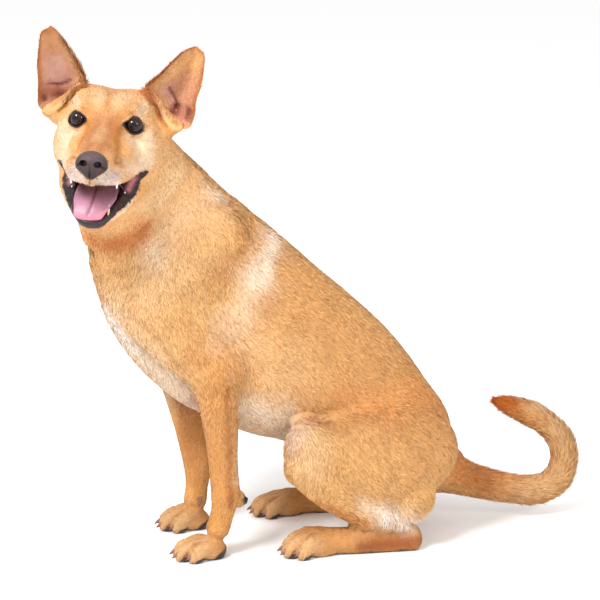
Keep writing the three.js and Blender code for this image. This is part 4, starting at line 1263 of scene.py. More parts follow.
def lie_guides():
    """Places all over the dog and the direction in which the hair lies there."""
    places, directions = [], []
    for place, way in BODY_LIE:
        for side in (LEFT, RIGHT):
            places.append((place[0], place[1] * side, place[2]))
            directions.append((way[0], way[1] * side, way[2]))
    for place, way in HEAD_LIE:
        for side in (1, -1):
            places.append(out_of_head(np.array(place) * (1, side, 1)))
            directions.append(HEAD @ (np.array(way) * (1, side, 1)))
    for start, end in zip(TAIL.line[2:], TAIL.line[4:]):
        places.append((start + end) / 2)
        directions.append(end - start)
    directions = np.array(directions)
    return np.array(places), directions / np.linalg.norm(directions, axis=1)[:, None]


def hair_lie(points, normals):
    """The direction along the skin in which the hair lies."""
    total = np.zeros_like(points)
    for place, way in zip(*lie_guides()):
        total += way / (((points - place) ** 2).sum(1)[:, None] + 60) ** 2
    ear = on_ear(in_head(points))
    up = ear[:, 3:6] @ HEAD.T
    up /= np.maximum(np.linalg.norm(up, axis=1), 1e-9)[:, None]
    size = np.linalg.norm(total, axis=1)[:, None]
    total += (up * size - total) * ear[:, 6:7]
    total += 0.16 * np.linalg.norm(total, axis=1)[:, None] * np.stack(
        [grain(points, 16, 20 + axis) for axis in range(3)], axis=1)
    total -= (total * normals).sum(1)[:, None] * normals
    return total / np.maximum(np.linalg.norm(total, axis=1), 1e-12)[:, None]


def thigh_fringe(points):
    """1 on the long hair behind the thighs, over the heels."""
    middle = np.exp(-((points[:, 0] - 118) / 26) ** 2 - ((points[:, 2] - 58) / 18) ** 2)
    return middle * share(np.abs(points[:, 1]), 70, 90)


def hair_measures(points):
    """Length, width and lift from the skin (as a slope) of the hair at places in the dog's frame."""
    length = np.full(len(points), 9.0)
    width = np.full(len(points), 1.12)
    lift = np.full(len(points), 0.12)
    local = in_head(points)
    head = head_share(points)
    ear = on_ear(local)
    inner_fringe = ear[:, 6] * ear[:, 2] * share(ear[:, 0], 0.1, -0.3) * share(ear[:, 1], 0.1, 0.2)
    for mask, values in (
        (share(points[:, 2], 400, 450) * (1 - head), (11, 1.25, 0.15)),
        (forelegs_share(points), (5.5, 1.0, 0.08)),
        (head, (6.0, 1.0, 0.12)),
        (head * share(local[:, 0], -40, 0), (3.6, 0.7, 0.12)),
        (tail_share(points), (15, 1.0, 0.24)),
        (share(points[:, 2], 50, 30) * (1 - tail_share(points)), (3.8, 0.8, 0.09)),
        (thigh_fringe(points), (17, 1.4, 0.25)),
        (ear[:, 6], (3.0, 0.55, 0.1)),
        (ear[:, 6] * share(ear[:, 1], 0.88, 0.96), (1.5, 0.5, 0.05)),
        (inner_fringe * share(ear[:, 1], 0.9, 0.7), (10, 0.7, 0.22)),
    ):
        for size, value in zip((length, width, lift), values):
            size += (value - size) * mask
    return length, width, lift


def hair_density(points):
    """Tufts to the square millimetre."""
    density = np.full(len(points), 0.61)
    local = in_head(points)
    for mask, value in (
        (forelegs_share(points), 0.72),
        (head_share(points), 0.84),
        (head_share(points) * share(local[:, 0], -25, 15), 1.45),
        (share(points[:, 2], 50, 30), 0.92),
        (tail_share(points), 0.95),
        (thigh_fringe(points), 1.0),
    ):
        density += (value - density) * mask
    ear = on_ear(local)
    density += (1.18 - density) * ear[:, 6]
    sparse = ear[:, 6] * ear[:, 2] * share(np.abs(ear[:, 0] - 0.3), 0.55, 0.35)
    return density * (1 - 0.7 * sparse) * (1 - bareness(points))


# ---------------------------------------------------------------- meshes


def object_from(bm, name):
    """A new object with the mesh of bm, which is freed."""
    mesh = bpy.data.meshes.new(name)
    bm.to_mesh(mesh)
    bm.free()
    obj = bpy.data.objects.new(name, mesh)
    bpy.context.scene.collection.objects.link(obj)
    return obj


def object_of(name, points, faces):
    """A new smooth object from places in the dog's frame and faces."""
    mesh = bpy.data.meshes.new(name)
    mesh.from_pydata(to_scene(points).tolist(), [], faces)
    mesh.update()
    obj = bpy.data.objects.new(name, mesh)
    bpy.context.scene.collection.objects.link(obj)
    return smooth(obj)


def joined(pieces):
    """Several pieces of vertices and faces as one."""
    points, faces, first = [], [], 0
    for verts, these in pieces:
        points.append(verts)
        faces += [tuple(i + first for i in face) for face in these]
        first += len(verts)
    return np.vstack(points), faces


def tint(mesh, colour):
    """Writes one colour for each vertex as the attribute Marking."""
    rows = np.column_stack([colour, np.ones(len(colour))])
    mesh.color_attributes.new("Marking", "FLOAT_COLOR", "POINT").data.foreach_set("color", rows.ravel())


def drop(obj):
    mesh = obj.data
    bpy.data.objects.remove(obj)
    bpy.data.meshes.remove(mesh)


def coordinates(mesh):
    co = np.empty(len(mesh.vertices) * 3)
    mesh.vertices.foreach_get("co", co)
    return co.reshape(-1, 3)


def place_vertices(mesh, points):
    mesh.vertices.foreach_set("co", np.asarray(points, np.float32).ravel())
    mesh.update()


def edges_of(mesh):
    ends = np.empty(len(mesh.edges) * 2, int)
    mesh.edges.foreach_get("vertices", ends)
    return ends.reshape(-1, 2)


def with_modifier(obj, kind, **settings):
    """Adds a modifier, applies it and removes it."""
    modifier = obj.modifiers.new(kind.lower(), kind)
    for name, value in settings.items():
        setattr(modifier, name, value)
    bpy.context.view_layer.update()
    evaluated = obj.evaluated_get(bpy.context.evaluated_depsgraph_get())
    mesh = bpy.data.meshes.new_from_object(evaluated)
    obj.modifiers.remove(modifier)
    old = obj.data
    obj.data = mesh
    bpy.data.meshes.remove(old)
    return obj


def relaxed(points, edges, rounds, weight=0.5):
    """Evens out a mesh: each vertex moves towards the middle of its neighbours."""
    number = np.maximum(np.bincount(edges.ravel(), minlength=len(points)), 1)
    for _ in range(rounds):
        total = np.empty_like(points)
        for axis in range(3):
            total[:, axis] = np.bincount(edges[:, 0], points[edges[:, 1], axis], len(points))
            total[:, axis] += np.bincount(edges[:, 1], points[edges[:, 0], axis], len(points))
        points = points + (total / number[:, None] - points) * np.asarray(weight)[..., None]
    return points


def joined_copy(names, swell, name):
    """One object of copies of CAD nodes, each swollen a little so that they reach into each other."""
    bm = bmesh.new()
    for node_name in names:
        part = bmesh.new()
        part.from_mesh(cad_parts[node_name].data)
        bmesh.ops.remove_doubles(part, verts=part.verts, dist=1e-5)
        part.normal_update()
        for vert in part.verts:
            vert.co += vert.normal * swell
        mesh = bpy.data.meshes.new(node_name)
        part.to_mesh(mesh)
        part.free()
        bm.from_mesh(mesh)
        bpy.data.meshes.remove(mesh)
    return object_from(bm, name)


def fit_to(obj, field, rounds, relax, most=5.0):
    """Settles an object's vertices on a field's surface, evening them out in between."""
    edges = edges_of(obj.data)
    points = to_dog(coordinates(obj.data))
    for _ in range(relax):
        points = settled(relaxed(points, edges, 1), field, 1, most)
    points = settled(points, field, rounds, most)
    place_vertices(obj.data, to_scene(points))


def refine(obj, chosen):
    """Splits the faces whose middle is chosen, by a test on places in the dog's frame."""
    bm = bmesh.new()
    bm.from_mesh(obj.data)
    middles = to_dog(np.array([f.calc_center_median() for f in bm.faces]))
    keep = chosen(middles)
    edges = {edge for face, take in zip(bm.faces, keep) if take for edge in face.edges}
    bmesh.ops.subdivide_edges(bm, edges=sorted(edges, key=lambda e: e.index), cuts=1, use_grid_fill=True)
    bmesh.ops.triangulate(bm, faces=[f for f in bm.faces if len(f.verts) > 4])
    bm.to_mesh(obj.data)
    bm.free()


def smooth(obj):
    obj.data.polygons.foreach_set("use_smooth", np.ones(len(obj.data.polygons), bool))
    obj.data.update()
    return obj


def finished(obj, slot, *nodes, material=None):
    """Gives a piece its material and body, and hides the CAD nodes that it stands for; the slot is not used.
    """
    if material:
        obj.data.materials.clear()
        obj.data.materials.append(material)
    if nodes:
        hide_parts(*nodes)
    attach(obj, "root")
    return obj


# ---------------------------------------------------------------- colours and materials


def add_node(tree, kind, links=None, values=None, **settings):
    """A node of one kind, with its settings, its inputs' values and the sockets that feed them."""
    node = tree.nodes.new(kind)
    for name, value in settings.items():
        setattr(node, name, value)
    for name, value in (values or {}).items():
        node.inputs[name].default_value = value
    for name, socket in (links or {}).items():
        tree.links.new(socket, node.inputs[name])
    return node


def new_material(name, values):
    """A material with an empty Principled shader, and its node tree and shader."""
    material = bpy.data.materials.new(name)
    material.use_nodes = True
    tree = material.node_tree
    shader = tree.nodes["Principled BSDF"]
    for key, value in values.items():
        shader.inputs[key].default_value = value
    return material, tree, shader


def bump(tree, shader, height, strength, distance):
    node = add_node(tree, "ShaderNodeBump", {"Height": height}, {"Strength": strength, "Distance": distance})
    tree.links.new(node.outputs["Normal"], shader.inputs["Normal"])


def noise(tree, vector, scale, detail=3.0, roughness=0.55):
    return add_node(
        tree, "ShaderNodeTexNoise", {"Vector": vector},
        {"Scale": scale, "Detail": detail, "Roughness": roughness},
    ).outputs["Fac"]


def per_metre(millimetres):
    """The scale of a noise whose grains are that many millimetres across."""
    return 1000 / millimetres


def short_hair_on_skin():
    """Dog's skin under a short dense coat: matt, coloured by its markings, with a fine underfur."""
    finish = {"Roughness": 0.75, "Specular IOR Level": 0.25}
    material, tree, shader = new_material("short_dense_underfur", finish)
    place = add_node(tree, "ShaderNodeTexCoord").outputs["Object"]
    marking = add_node(tree, "ShaderNodeAttribute", attribute_name="Marking").outputs["Color"]
    mottle = noise(tree, place, per_metre(7), 4)
    grain = noise(tree, place, per_metre(1.2), 2)
    shade = add_node(
        tree, "ShaderNodeMapRange", {"Value": mottle},
        {"From Min": 0.3, "From Max": 0.7, "To Min": 0.86, "To Max": 1.1},
    ).outputs["Result"]
    tinted = add_node(tree, "ShaderNodeVectorMath", {0: marking, "Scale": shade}, operation="SCALE")
    tree.links.new(tinted.outputs["Vector"], shader.inputs["Base Color"])
    wet = add_node(tree, "ShaderNodeAttribute", attribute_name="Bare").outputs["Fac"]
    rough = add_node(
        tree, "ShaderNodeMapRange", {"Value": wet},
        {"From Min": 0.0, "From Max": 1.0, "To Min": 0.75, "To Max": 0.32},
    ).outputs["Result"]
    tree.links.new(rough, shader.inputs["Roughness"])
    bump(tree, shader, grain, 0.35, 0.0006)
    return material


def coat_hair():
    """Short straight guard hair: a satin fibre, coloured hair by hair along its length."""
    material, tree, shader = new_material("short_guard_hair", {"Roughness": 0.58, "Specular IOR Level": 0.3})
    tint = add_node(tree, "ShaderNodeAttribute", attribute_name="Marking").outputs["Color"]
    tree.links.new(tint, shader.inputs["Base Color"])
    return material


def tinted_material(name, values, tone=0.0, grain_size=1.0, height=0.0):
    """A material coloured by the attribute Marking, with mottling and a fine grain."""
    material, tree, shader = new_material(name, values)
    marking = add_node(tree, "ShaderNodeAttribute", attribute_name="Marking").outputs["Color"]
    place = add_node(tree, "ShaderNodeTexCoord").outputs["Object"]
    shade = add_node(
        tree, "ShaderNodeMapRange", {"Value": noise(tree, place, per_metre(grain_size * 3), 3)},
        {"From Min": 0.3, "From Max": 0.7, "To Min": 1 - tone, "To Max": 1 + tone},
    ).outputs["Result"]
    scaled = add_node(tree, "ShaderNodeVectorMath", {0: marking, "Scale": shade}, operation="SCALE")
    tree.links.new(scaled.outputs["Vector"], shader.inputs["Base Color"])
    if height:
        bump(tree, shader, noise(tree, place, per_metre(grain_size), 2), 0.6, height)
    return material


def wet_eye():
    """The ball of a dog's eye: black pupil, dark brown iris with a darker edge, under a wet cornea."""
    material, tree, shader = new_material("wet_dark_eye", {"Roughness": 0.04, "Specular IOR Level": 0.36})
    away = add_node(tree, "ShaderNodeAttribute", attribute_name="From pupil").outputs["Fac"]
    place = add_node(tree, "ShaderNodeTexCoord").outputs["Object"]
    rings = add_node(tree, "ShaderNodeValToRGB", {"Fac": away})
    stops = ((0.30, "#040304"), (0.42, "#190d08"), (0.62, "#35200f"), (0.76, "#120a08"), (0.9, "#2a1e1a"))
    rings.color_ramp.elements.remove(rings.color_ramp.elements[1])
    for number, (at, colour) in enumerate(stops):
        stop = rings.color_ramp.elements[0] if number == 0 else rings.color_ramp.elements.new(at)
        stop.position = at
        stop.color = (*linear(colour), 1)
    shade = add_node(
        tree, "ShaderNodeMapRange", {"Value": noise(tree, place, per_metre(1.5), 2)},
        {"From Min": 0.3, "From Max": 0.7, "To Min": 0.75, "To Max": 1.2},
    ).outputs["Result"]
    flecked = add_node(
        tree, "ShaderNodeVectorMath", {0: rings.outputs["Color"], "Scale": shade}, operation="SCALE")
    tree.links.new(flecked.outputs["Vector"], shader.inputs["Base Color"])
    return material


# ---------------------------------------------------------------- the operators


class Measures(bpy.types.PropertyGroup):
    """Sizes that shape the dog's skin and coat."""

    voxel: FloatProperty(
        name="Skin grain", description="Spacing of the skin's mesh on the body",
        default=0.0050, unit="LENGTH", subtype="DISTANCE",
    )
    density: FloatProperty(
        name="Coat density", description="How many tufts grow, as a share of the full coat", default=1.0,
    )
    seed: IntProperty(name="Seed", description="Start of every random draw", default=SEED)


class Colours(bpy.types.PropertyGroup):
    """Colours of the coat and the bare parts."""

    coat: FloatVectorProperty(
        name="Coat", description="Main colour of the coat", subtype="COLOR", default=tuple(PALETTE["tan"]),
    )
    nose: FloatVectorProperty(
        name="Nose", description="Leather of the nose", subtype="COLOR", default=linear("#402e30"),
    )
    tongue: FloatVectorProperty(
        name="Tongue", description="Tip of the tongue", subtype="COLOR", default=linear("#cf7588"),
    )


def use_coat_colour(context):
    """Takes the main colour of the markings from the panel."""
    PALETTE["tan"] = np.array(context.scene.dog_colours.coat)


FLESH_NODES = [
    "head", "jaw", "neck", "torso", "tail_base", "tail_middle", "tail_tip",
    *(f"{part}_{side}" for part in ("foreleg", "fore_paw", "thigh", "shank", "hind_foot", "hind_paw")
      for side in ("left", "right")),
]
EAR_NODES = ["ear_left", "ear_right"]


def near_face(points):
    """The front of the head and the toes, where the skin's mesh is finer."""
    local = in_head(points)
    toes = [np.abs(points - paw.at - (-8, 0, 20)).max(1) < 34 for paw in PAWS.values()]
    return (local[:, 0] > -84) & (np.linalg.norm(points - HEAD_AT, axis=1) < 190) | np.any(toes, axis=0)


def near_features(points):
    """Round the eyes, the nose and the lips, where the mesh is finest."""
    local = in_head(points)
    eyes = [np.linalg.norm(local - eye_place(side), axis=1) < 21 for side in (1, -1)]
    lips = (np.abs(MOUTH.distance(local)) < 7) & (local[:, 0] > -16)
    nose = np.linalg.norm(local - NOSE_AT, axis=1) < 26
    return eyes[0] | eyes[1] | lips | nose


def near_edges(points):
    """The edges of the lids, where the mesh is finest of all."""
    local = in_head(points)
    openings = [np.abs(eye_opening(local, side)[0]) for side in (1, -1)]
    return (np.minimum(*openings) < 5) & (local[:, 0] > -14) & (np.linalg.norm(local, axis=1) < 60)


class DOG_OT_skin(bpy.types.Operator):
    """One skin over the whole dog, with the ears grown into it"""

    bl_idname = "dog.skin"
    bl_label = "Skin"

    def execute(self, context):
        use_coat_colour(context)
        voxel = context.scene.dog_measures.voxel
        skin = joined_copy([*FLESH_NODES, "nose"], 0.0005, "skin")
        with_modifier(skin, "REMESH", mode="VOXEL", voxel_size=voxel)
        fit_to(skin, skin_distance, 2, 2)
        with_modifier(skin, "REMESH", mode="VOXEL", voxel_size=voxel)
        fit_to(skin, skin_distance, 2, 1)
        refine(skin, near_face)
        fit_to(skin, skin_distance, 2, 1)
        refine(skin, near_features)
        fit_to(skin, skin_distance, 2, 1)
        refine(skin, near_edges)
        fit_to(skin, skin_distance, 3, 1)
        for side in (1, -1):
            leaf = ear_object(side)
            with_modifier(skin, "BOOLEAN", operation="UNION", object=leaf, solver="MANIFOLD")
            drop(leaf)
        smooth(skin)
        unwrap(skin)
        paint(skin.data, to_dog(coordinates(skin.data)))
        finished(skin, "coat", *FLESH_NODES, *EAR_NODES, material=short_hair_on_skin())
        return {"FINISHED"}


def paint(mesh, points):
    """Writes the markings and the bareness of a skin's vertices as attributes."""
    colour = np.column_stack([markings(points), np.ones(len(points))])
    mesh.color_attributes.new("Marking", "FLOAT_COLOR", "POINT").data.foreach_set("color", colour.ravel())
    mesh.attributes.new("Bare", "FLOAT", "POINT").data.foreach_set("value", bareness(points))


def unwrap(obj):
    """Lays the skin flat in a map, for the coat's patches of colour."""
    bpy.context.view_layer.objects.active = obj
    obj.select_set(True)
    bpy.ops.object.mode_set(mode="EDIT")
    bpy.ops.mesh.select_all(action="SELECT")
    bpy.ops.uv.smart_project(angle_limit=math.radians(66), island_margin=0.002)
    bpy.ops.object.mode_set(mode="OBJECT")
    obj.select_set(False)
    obj.data.uv_layers[0].name = "OFBake"


def triangles_of(mesh):
    """Corner places, corner normals and map places of a mesh's triangles."""
    mesh.calc_loop_triangles()
    number = len(mesh.loop_triangles)
    loops = np.empty(number * 3, int)
    mesh.loop_triangles.foreach_get("loops", loops)
    vertex = np.empty(len(mesh.loops), int)
    mesh.loops.foreach_get("vertex_index", vertex)
    normals = np.empty(len(mesh.vertices) * 3)
    mesh.vertices.foreach_get("normal", normals)
    uv = np.empty(len(mesh.loops) * 2)
    mesh.uv_layers["OFBake"].data.foreach_get("uv", uv)
    corners = vertex[loops]
    return (
        to_dog(coordinates(mesh))[corners].reshape(-1, 3, 3),
        normals.reshape(-1, 3)[corners].reshape(-1, 3, 3),
        uv.reshape(-1, 2)[loops].reshape(-1, 3, 2),
    )


def roots_on(mesh, density, rng):
    """Random places on a mesh, with their normals and map places, by a density of places to the square mm."""
    places, normals, maps = triangles_of(mesh)
    area = np.linalg.norm(np.cross(places[:, 1] - places[:, 0], places[:, 2] - places[:, 0]), axis=1) / 2
    wanted = area * density(places.mean(1))
    number = rng.poisson(wanted)
    chosen = np.repeat(np.arange(len(area)), number)
    a, b = rng.random((2, len(chosen)))
    over = a + b > 1
    a[over], b[over] = 1 - a[over], 1 - b[over]
    weights = np.stack([1 - a - b, a, b], axis=1)[:, :, None]
    at, normal, uv = ((values[chosen] * weights).sum(1) for values in (places, normals, maps))
    return at, normal / np.linalg.norm(normal, axis=1)[:, None], uv


def grow(name, roots, normals, maps, along, length, width, lift, colour, material, rng):
    """One mesh of flat bending tufts: strips of two panels that narrow to a point, each from its own root."""
    number = len(roots)
    turn = rng.normal(0, 0.30, (number, 1))
    across = np.cross(normals, along)
    along = along * np.cos(turn) + across * np.sin(turn)
    across = np.cross(normals, along)
    roll = rng.normal(0, 0.22, (number, 1))
    flat = across * np.cos(roll) + normals * np.sin(roll)
    length = (length * rng.uniform(0.65, 1.2, number))[:, None]
    width = (width * rng.uniform(0.7, 1.3, number))[:, None] / 2
    lift = (lift * rng.uniform(0.5, 1.5, number))[:, None]
    bend = rng.normal(0, 0.08, (number, 1))
    root = roots - normals * TUFT_ROOT_DEPTH
    middle = root + (along + normals * lift * 1.3 + across * bend) * length * 0.5
    tip = middle + (along + normals * lift * 0.5 - across * bend) * length * 0.5
    verts = np.stack([root - flat * width * 0.8, root + flat * width * 0.8, middle + flat * width,
                      middle - flat * width, tip], axis=1)
    verts[:, :, 2] = np.maximum(verts[:, :, 2], 0.3)
    mesh = bpy.data.meshes.new(name)
    mesh.vertices.add(number * 5)
    mesh.vertices.foreach_set("co", to_scene(verts.reshape(-1, 3)).astype(np.float32).ravel())
    corners = (np.arange(number)[:, None] * 5 + TUFT_CORNERS).ravel()
    mesh.loops.add(number * 7)
    mesh.loops.foreach_set("vertex_index", corners.astype(np.int32))
    mesh.polygons.add(number * 2)
    starts = (np.arange(number)[:, None] * 7 + np.array([0, 4])).ravel()
    mesh.polygons.foreach_set("loop_start", starts.astype(np.int32))
    mesh.polygons.foreach_set("use_smooth", np.ones(number * 2, bool))
    mesh.update(calc_edges=True)
    # Each tuft is darker at its root, a painted shade, and lighter at its tip.
    tinted = np.clip(colour[:, None, :] * TUFT_SHADE[None, :, None], 0, 1)
    tinted = np.concatenate([tinted, np.ones((number, 5, 1))], axis=2)
    mesh.color_attributes.new("Marking", "FLOAT_COLOR", "POINT").data.foreach_set("color", tinted.ravel())
    patch = (np.array([[0, 0], [1, 0], [1, 0.6], [0, 0.6], [0.5, 1]]) - 0.5) * TUFT_ON_MAP
    uv = maps[:, None, :] + patch[None]
    layer = mesh.uv_layers.new(name="OFBake")
    layer.data.foreach_set("uv", uv[:, TUFT_CORNERS].ravel())
    obj = bpy.data.objects.new(name, mesh)
    bpy.context.scene.collection.objects.link(obj)
    return finished(obj, "coat", material=material)


class DOG_OT_coat(bpy.types.Operator):
    """Short tufts over the whole skin, along the lie of the coat"""

    bl_idname = "dog.coat"
    bl_label = "Coat"

    def execute(self, context):
        use_coat_colour(context)
        skin = bpy.data.objects["skin"]
        measures = context.scene.dog_measures
        rng = np.random.default_rng(measures.seed)
        roots, normals, maps = roots_on(skin.data, lambda p: hair_density(p) * measures.density, rng)
        along = hair_lie(roots, normals)
        length, width, lift = hair_measures(roots)
        colour = markings(roots)
        tick = rng.normal(0, 0.12, len(roots)) + 0.09 * grain(roots, 3.0, 5)
        rusty = (rng.random(len(roots)) < RUSTY_SHARE)[:, None]
        colour = np.where(rusty, colour * RUSTY_HAIR, colour * PALE_HAIR) * (1 + tick)[:, None]
        material = coat_hair()
        order = np.argsort(roots[:, 0] + 0.4 * roots[:, 2])
        pieces = np.array_split(order, math.ceil(len(order) / TUFTS_TO_A_PIECE))
        for i, take in enumerate(pieces):
            grow(f"coat_{i + 1}", roots[take], normals[take], maps[take], along[take], length[take],
                 width[take], lift[take], colour[take], material, rng)
        return {"FINISHED"}


class DOG_OT_eyes(bpy.types.Operator):
    """Two eyeballs with pupil and iris"""

    bl_idname = "dog.eyes"
    bl_label = "Eyes"

    def execute(self, context):
        material = wet_eye()
        for side, name in ((1, "left"), (-1, "right")):
            verts, faces = ball(64, 48)
            look = gaze(side)
            points = eye_place(side) + verts * EYEBALL_RADIUS
            eye = object_of(f"eyeball_{name}", out_of_head(points), faces)
            ahead = verts @ look
            away = np.where(ahead > 0, np.linalg.norm(verts - ahead[:, None] * look, axis=1), 1.0)
            eye.data.attributes.new("From pupil", "FLOAT", "POINT").data.foreach_set("value", away)
            finished(eye, "eye", f"eye_{name}", material=material)
        return {"FINISHED"}


class DOG_OT_nose(bpy.types.Operator):
    """The leather of the nose, with its nostrils"""

    bl_idname = "dog.nose"
    bl_label = "Nose"

    def execute(self, context):
        bm = bmesh.new()
        bmesh.ops.create_icosphere(bm, subdivisions=6, radius=1)
        for vert in bm.verts:
            vert.co = to_scene(out_of_head(NOSE_AT + np.array(vert.co) * NOSE_LEATHER))
        nose = smooth(object_from(bm, "nose_leather"))
        fit_to(nose, nose_distance, 4, 5, most=3.0)
        points = in_head(to_dog(coordinates(nose.data)))
        dark, deep = nostril_hollow(points)
        colour = np.tile(np.array(context.scene.dog_colours.nose), (len(points), 1))
        # painted shade on the underside of the nose
        over(colour, hue("#2a1d1f"), share(points[:, 2], -26, -42))
        # painted highlight on the top of the nose
        over(colour, hue("#5a494d"), 0.7 * share(points[:, 2], -22, -13))
        # painted shade, near black, in the groove and in the nostrils
        groove = np.exp(-((points[:, 1] / 1.0) ** 2)) * share(points[:, 2], -25, -32)
        over(colour, hue("#0c0808"), np.maximum(dark, 0.75 * groove))
        points[:, 0] -= 8 * deep * share(points[:, 0], 82, 88)
        place_vertices(nose.data, to_scene(out_of_head(points)))
        tint(nose.data, colour)
        finish = {"Roughness": 0.45, "Specular IOR Level": 0.3}
        material = tinted_material("pebbled_nose_leather", finish, 0.2, 1.3, 0.0008)
        finished(nose, "nose_leather", "nose", material=material)
        return {"FINISHED"}


class DOG_OT_mouth(bpy.types.Operator):
    """Tongue and teeth"""

    bl_idname = "dog.mouth"
    bl_label = "Tongue and teeth"

    def execute(self, context):
        self.add_tongue(context.scene.dog_colours.tongue)
        self.add_teeth()
        return {"FINISHED"}

    def add_tongue(self, tip):
        """The tongue along its own line, with a groove down its middle and a raised, wavy rim."""
        verts, faces = ball(72, 72)
        along = (verts[:, 2] + 1) / 2
        ring = np.maximum(np.hypot(verts[:, 0], verts[:, 1]), 1e-6)
        narrow = np.minimum(ring * 1.6, 1)
        across, above = verts[:, 0] / ring * narrow, -verts[:, 1] / ring * narrow
        at = along * (len(TONGUE.line) - 1)
        first = np.minimum(at.astype(int), len(TONGUE.line) - 2)
        part = (at - first)[:, None]
        middle = TONGUE.line[first] * (1 - part) + TONGUE.line[first + 1] * part
        wide, thick = (TONGUE.sizes[first] * (1 - part) + TONGUE.sizes[first + 1] * part).T
        up = -TONGUE.deep[first]
        up *= np.sign(up[:, 2:3])
        groove = 2.2 * np.exp(-((across * wide / 1.5) ** 2)) * share(along, 0.95, 0.75)
        rim = 1.6 * share(np.abs(across), 0.6, 1.0) * share(along, 0.4, 0.8)
        lift = above * thick - np.where(above > 0, groove, 0) + rim
        wave = 0.8 * grain(middle + across[:, None] * (0, 20, 0), 9, 31)
        points = middle + across[:, None] * (wide + wave)[:, None] * (0, 1, 0) + lift[:, None] * up
        tongue = object_of("wet_tongue", out_of_head(points), faces)
        # darker towards the back: painted shade inside the mouth
        colour = np.tile(hue("#7c525f"), (len(points), 1))
        over(colour, hue("#a87488"), share(along, 0.25, 0.6))
        over(colour, np.array(tip), share(along + 0.3 * np.abs(across), 0.88, 1.02))
        # painted shade along the groove down the middle of the tongue
        crease = 0.7 * np.exp(-((across * wide / 1.3) ** 2)) * (above > 0) * share(along, 0.9, 0.75)
        over(colour, hue("#5e3440"), crease)
        tint(tongue.data, colour)
        material = tinted_material("moist_tongue", {"Roughness": 0.34}, 0.10, 1.0, 0.0005)
        finished(tongue, "tongue", "tongue", material=material)

    def add_teeth(self):
        """The teeth of both jaws, yellower towards the gum."""
        pieces, shades = [], []
        for side in (1, -1):
            for at, length, root, up in TEETH:
                verts, faces = tooth(at, length, root, up, side)
                pieces.append((out_of_head(verts), faces))
                reach = np.clip((verts[:, 2] - at[2]) * (1 if up else -1) / length, 0, 1)
                shade = np.tile(hue("#d9b878"), (len(verts), 1))
                over(shade, hue("#f1ead9"), share(reach, 0.1, 0.7))
                shades.append(shade)
        teeth = object_of("teeth", *joined(pieces))
        tint(teeth.data, np.vstack(shades))
        finished(teeth, None, material=tinted_material("tooth_enamel", {"Roughness": 0.25}, 0.04))


class DOG_OT_claws(bpy.types.Operator):
    """Claws, dewclaws and the pads under the toes"""

    bl_idname = "dog.claws"
    bl_label = "Claws and pads"

    def execute(self, context):
        horn = tinted_material("claw_horn", {"Roughness": 0.35}, 0.15, 0.8, 0.0002)
        pads = []
        for paw_name, paw in PAWS.items():
            end, side_name = paw_name.split("_")
            for number, (forward, aside, bend) in enumerate(PAW_TOES):
                verts, faces = claw(CLAW_LENGTH)
                root = (forward + 2, aside + math.tan(math.radians(bend)) * 9, 12.5)
                name = f"{end}_claw_{side_name}_{number + 1}"
                self.add_claw(name, paw, turned(verts, bend, 2) + root, faces, horn)
                cushion, cushion_faces = ball(20, 12)
                pads.append((paw.outside(cushion * (9, 7, 5) + (forward + 1, aside, 4.4)), cushion_faces))
            cushion, cushion_faces = ball(24, 14)
            pads.append((paw.outside(cushion * (15, 15, 6) + (-14, 0, 5)), cushion_faces))
            if end == "fore":
                verts, faces = claw(CLAW_LENGTH * 0.8)
                root = np.array(DEWCLAW_AT) * (1, LEFT if side_name == "left" else RIGHT, 1)
                self.add_claw(f"dewclaw_{side_name}", paw, turned(verts, 60, 1) + root, faces, horn)
        verts, faces = joined(pads)
        verts[:, 2] = np.maximum(verts[:, 2], 0.1)
        cushions = object_of("paw_pads", verts, faces)
        tint(cushions.data, np.tile(hue("#3a2e2d"), (len(verts), 1)))
        leather = tinted_material("paw_pad_leather", {"Roughness": 0.6}, 0.1, 1.0, 0.0005)
        finished(cushions, None, material=leather)
        return {"FINISHED"}

    def add_claw(self, node, paw, verts, faces, horn):
        """One claw in a paw's frame, dark towards its tip."""
        points = paw.outside(verts)
        points[:, 2] = np.maximum(points[:, 2], 0.1)
        obj = object_of(f"horn_{node}", points, faces)
        shade = np.tile(hue("#8f5f4c"), (len(points), 1))
        ahead = np.sign(verts[:, 0] - verts[:, 0].mean())
        reach = np.linalg.norm(verts - verts.mean(0), axis=1) / CLAW_LENGTH * ahead
        over(shade, hue("#522f27"), share(reach, 0.1, 0.7))
        tint(obj.data, shade)
        finished(obj, "claw_horn", node, material=horn)


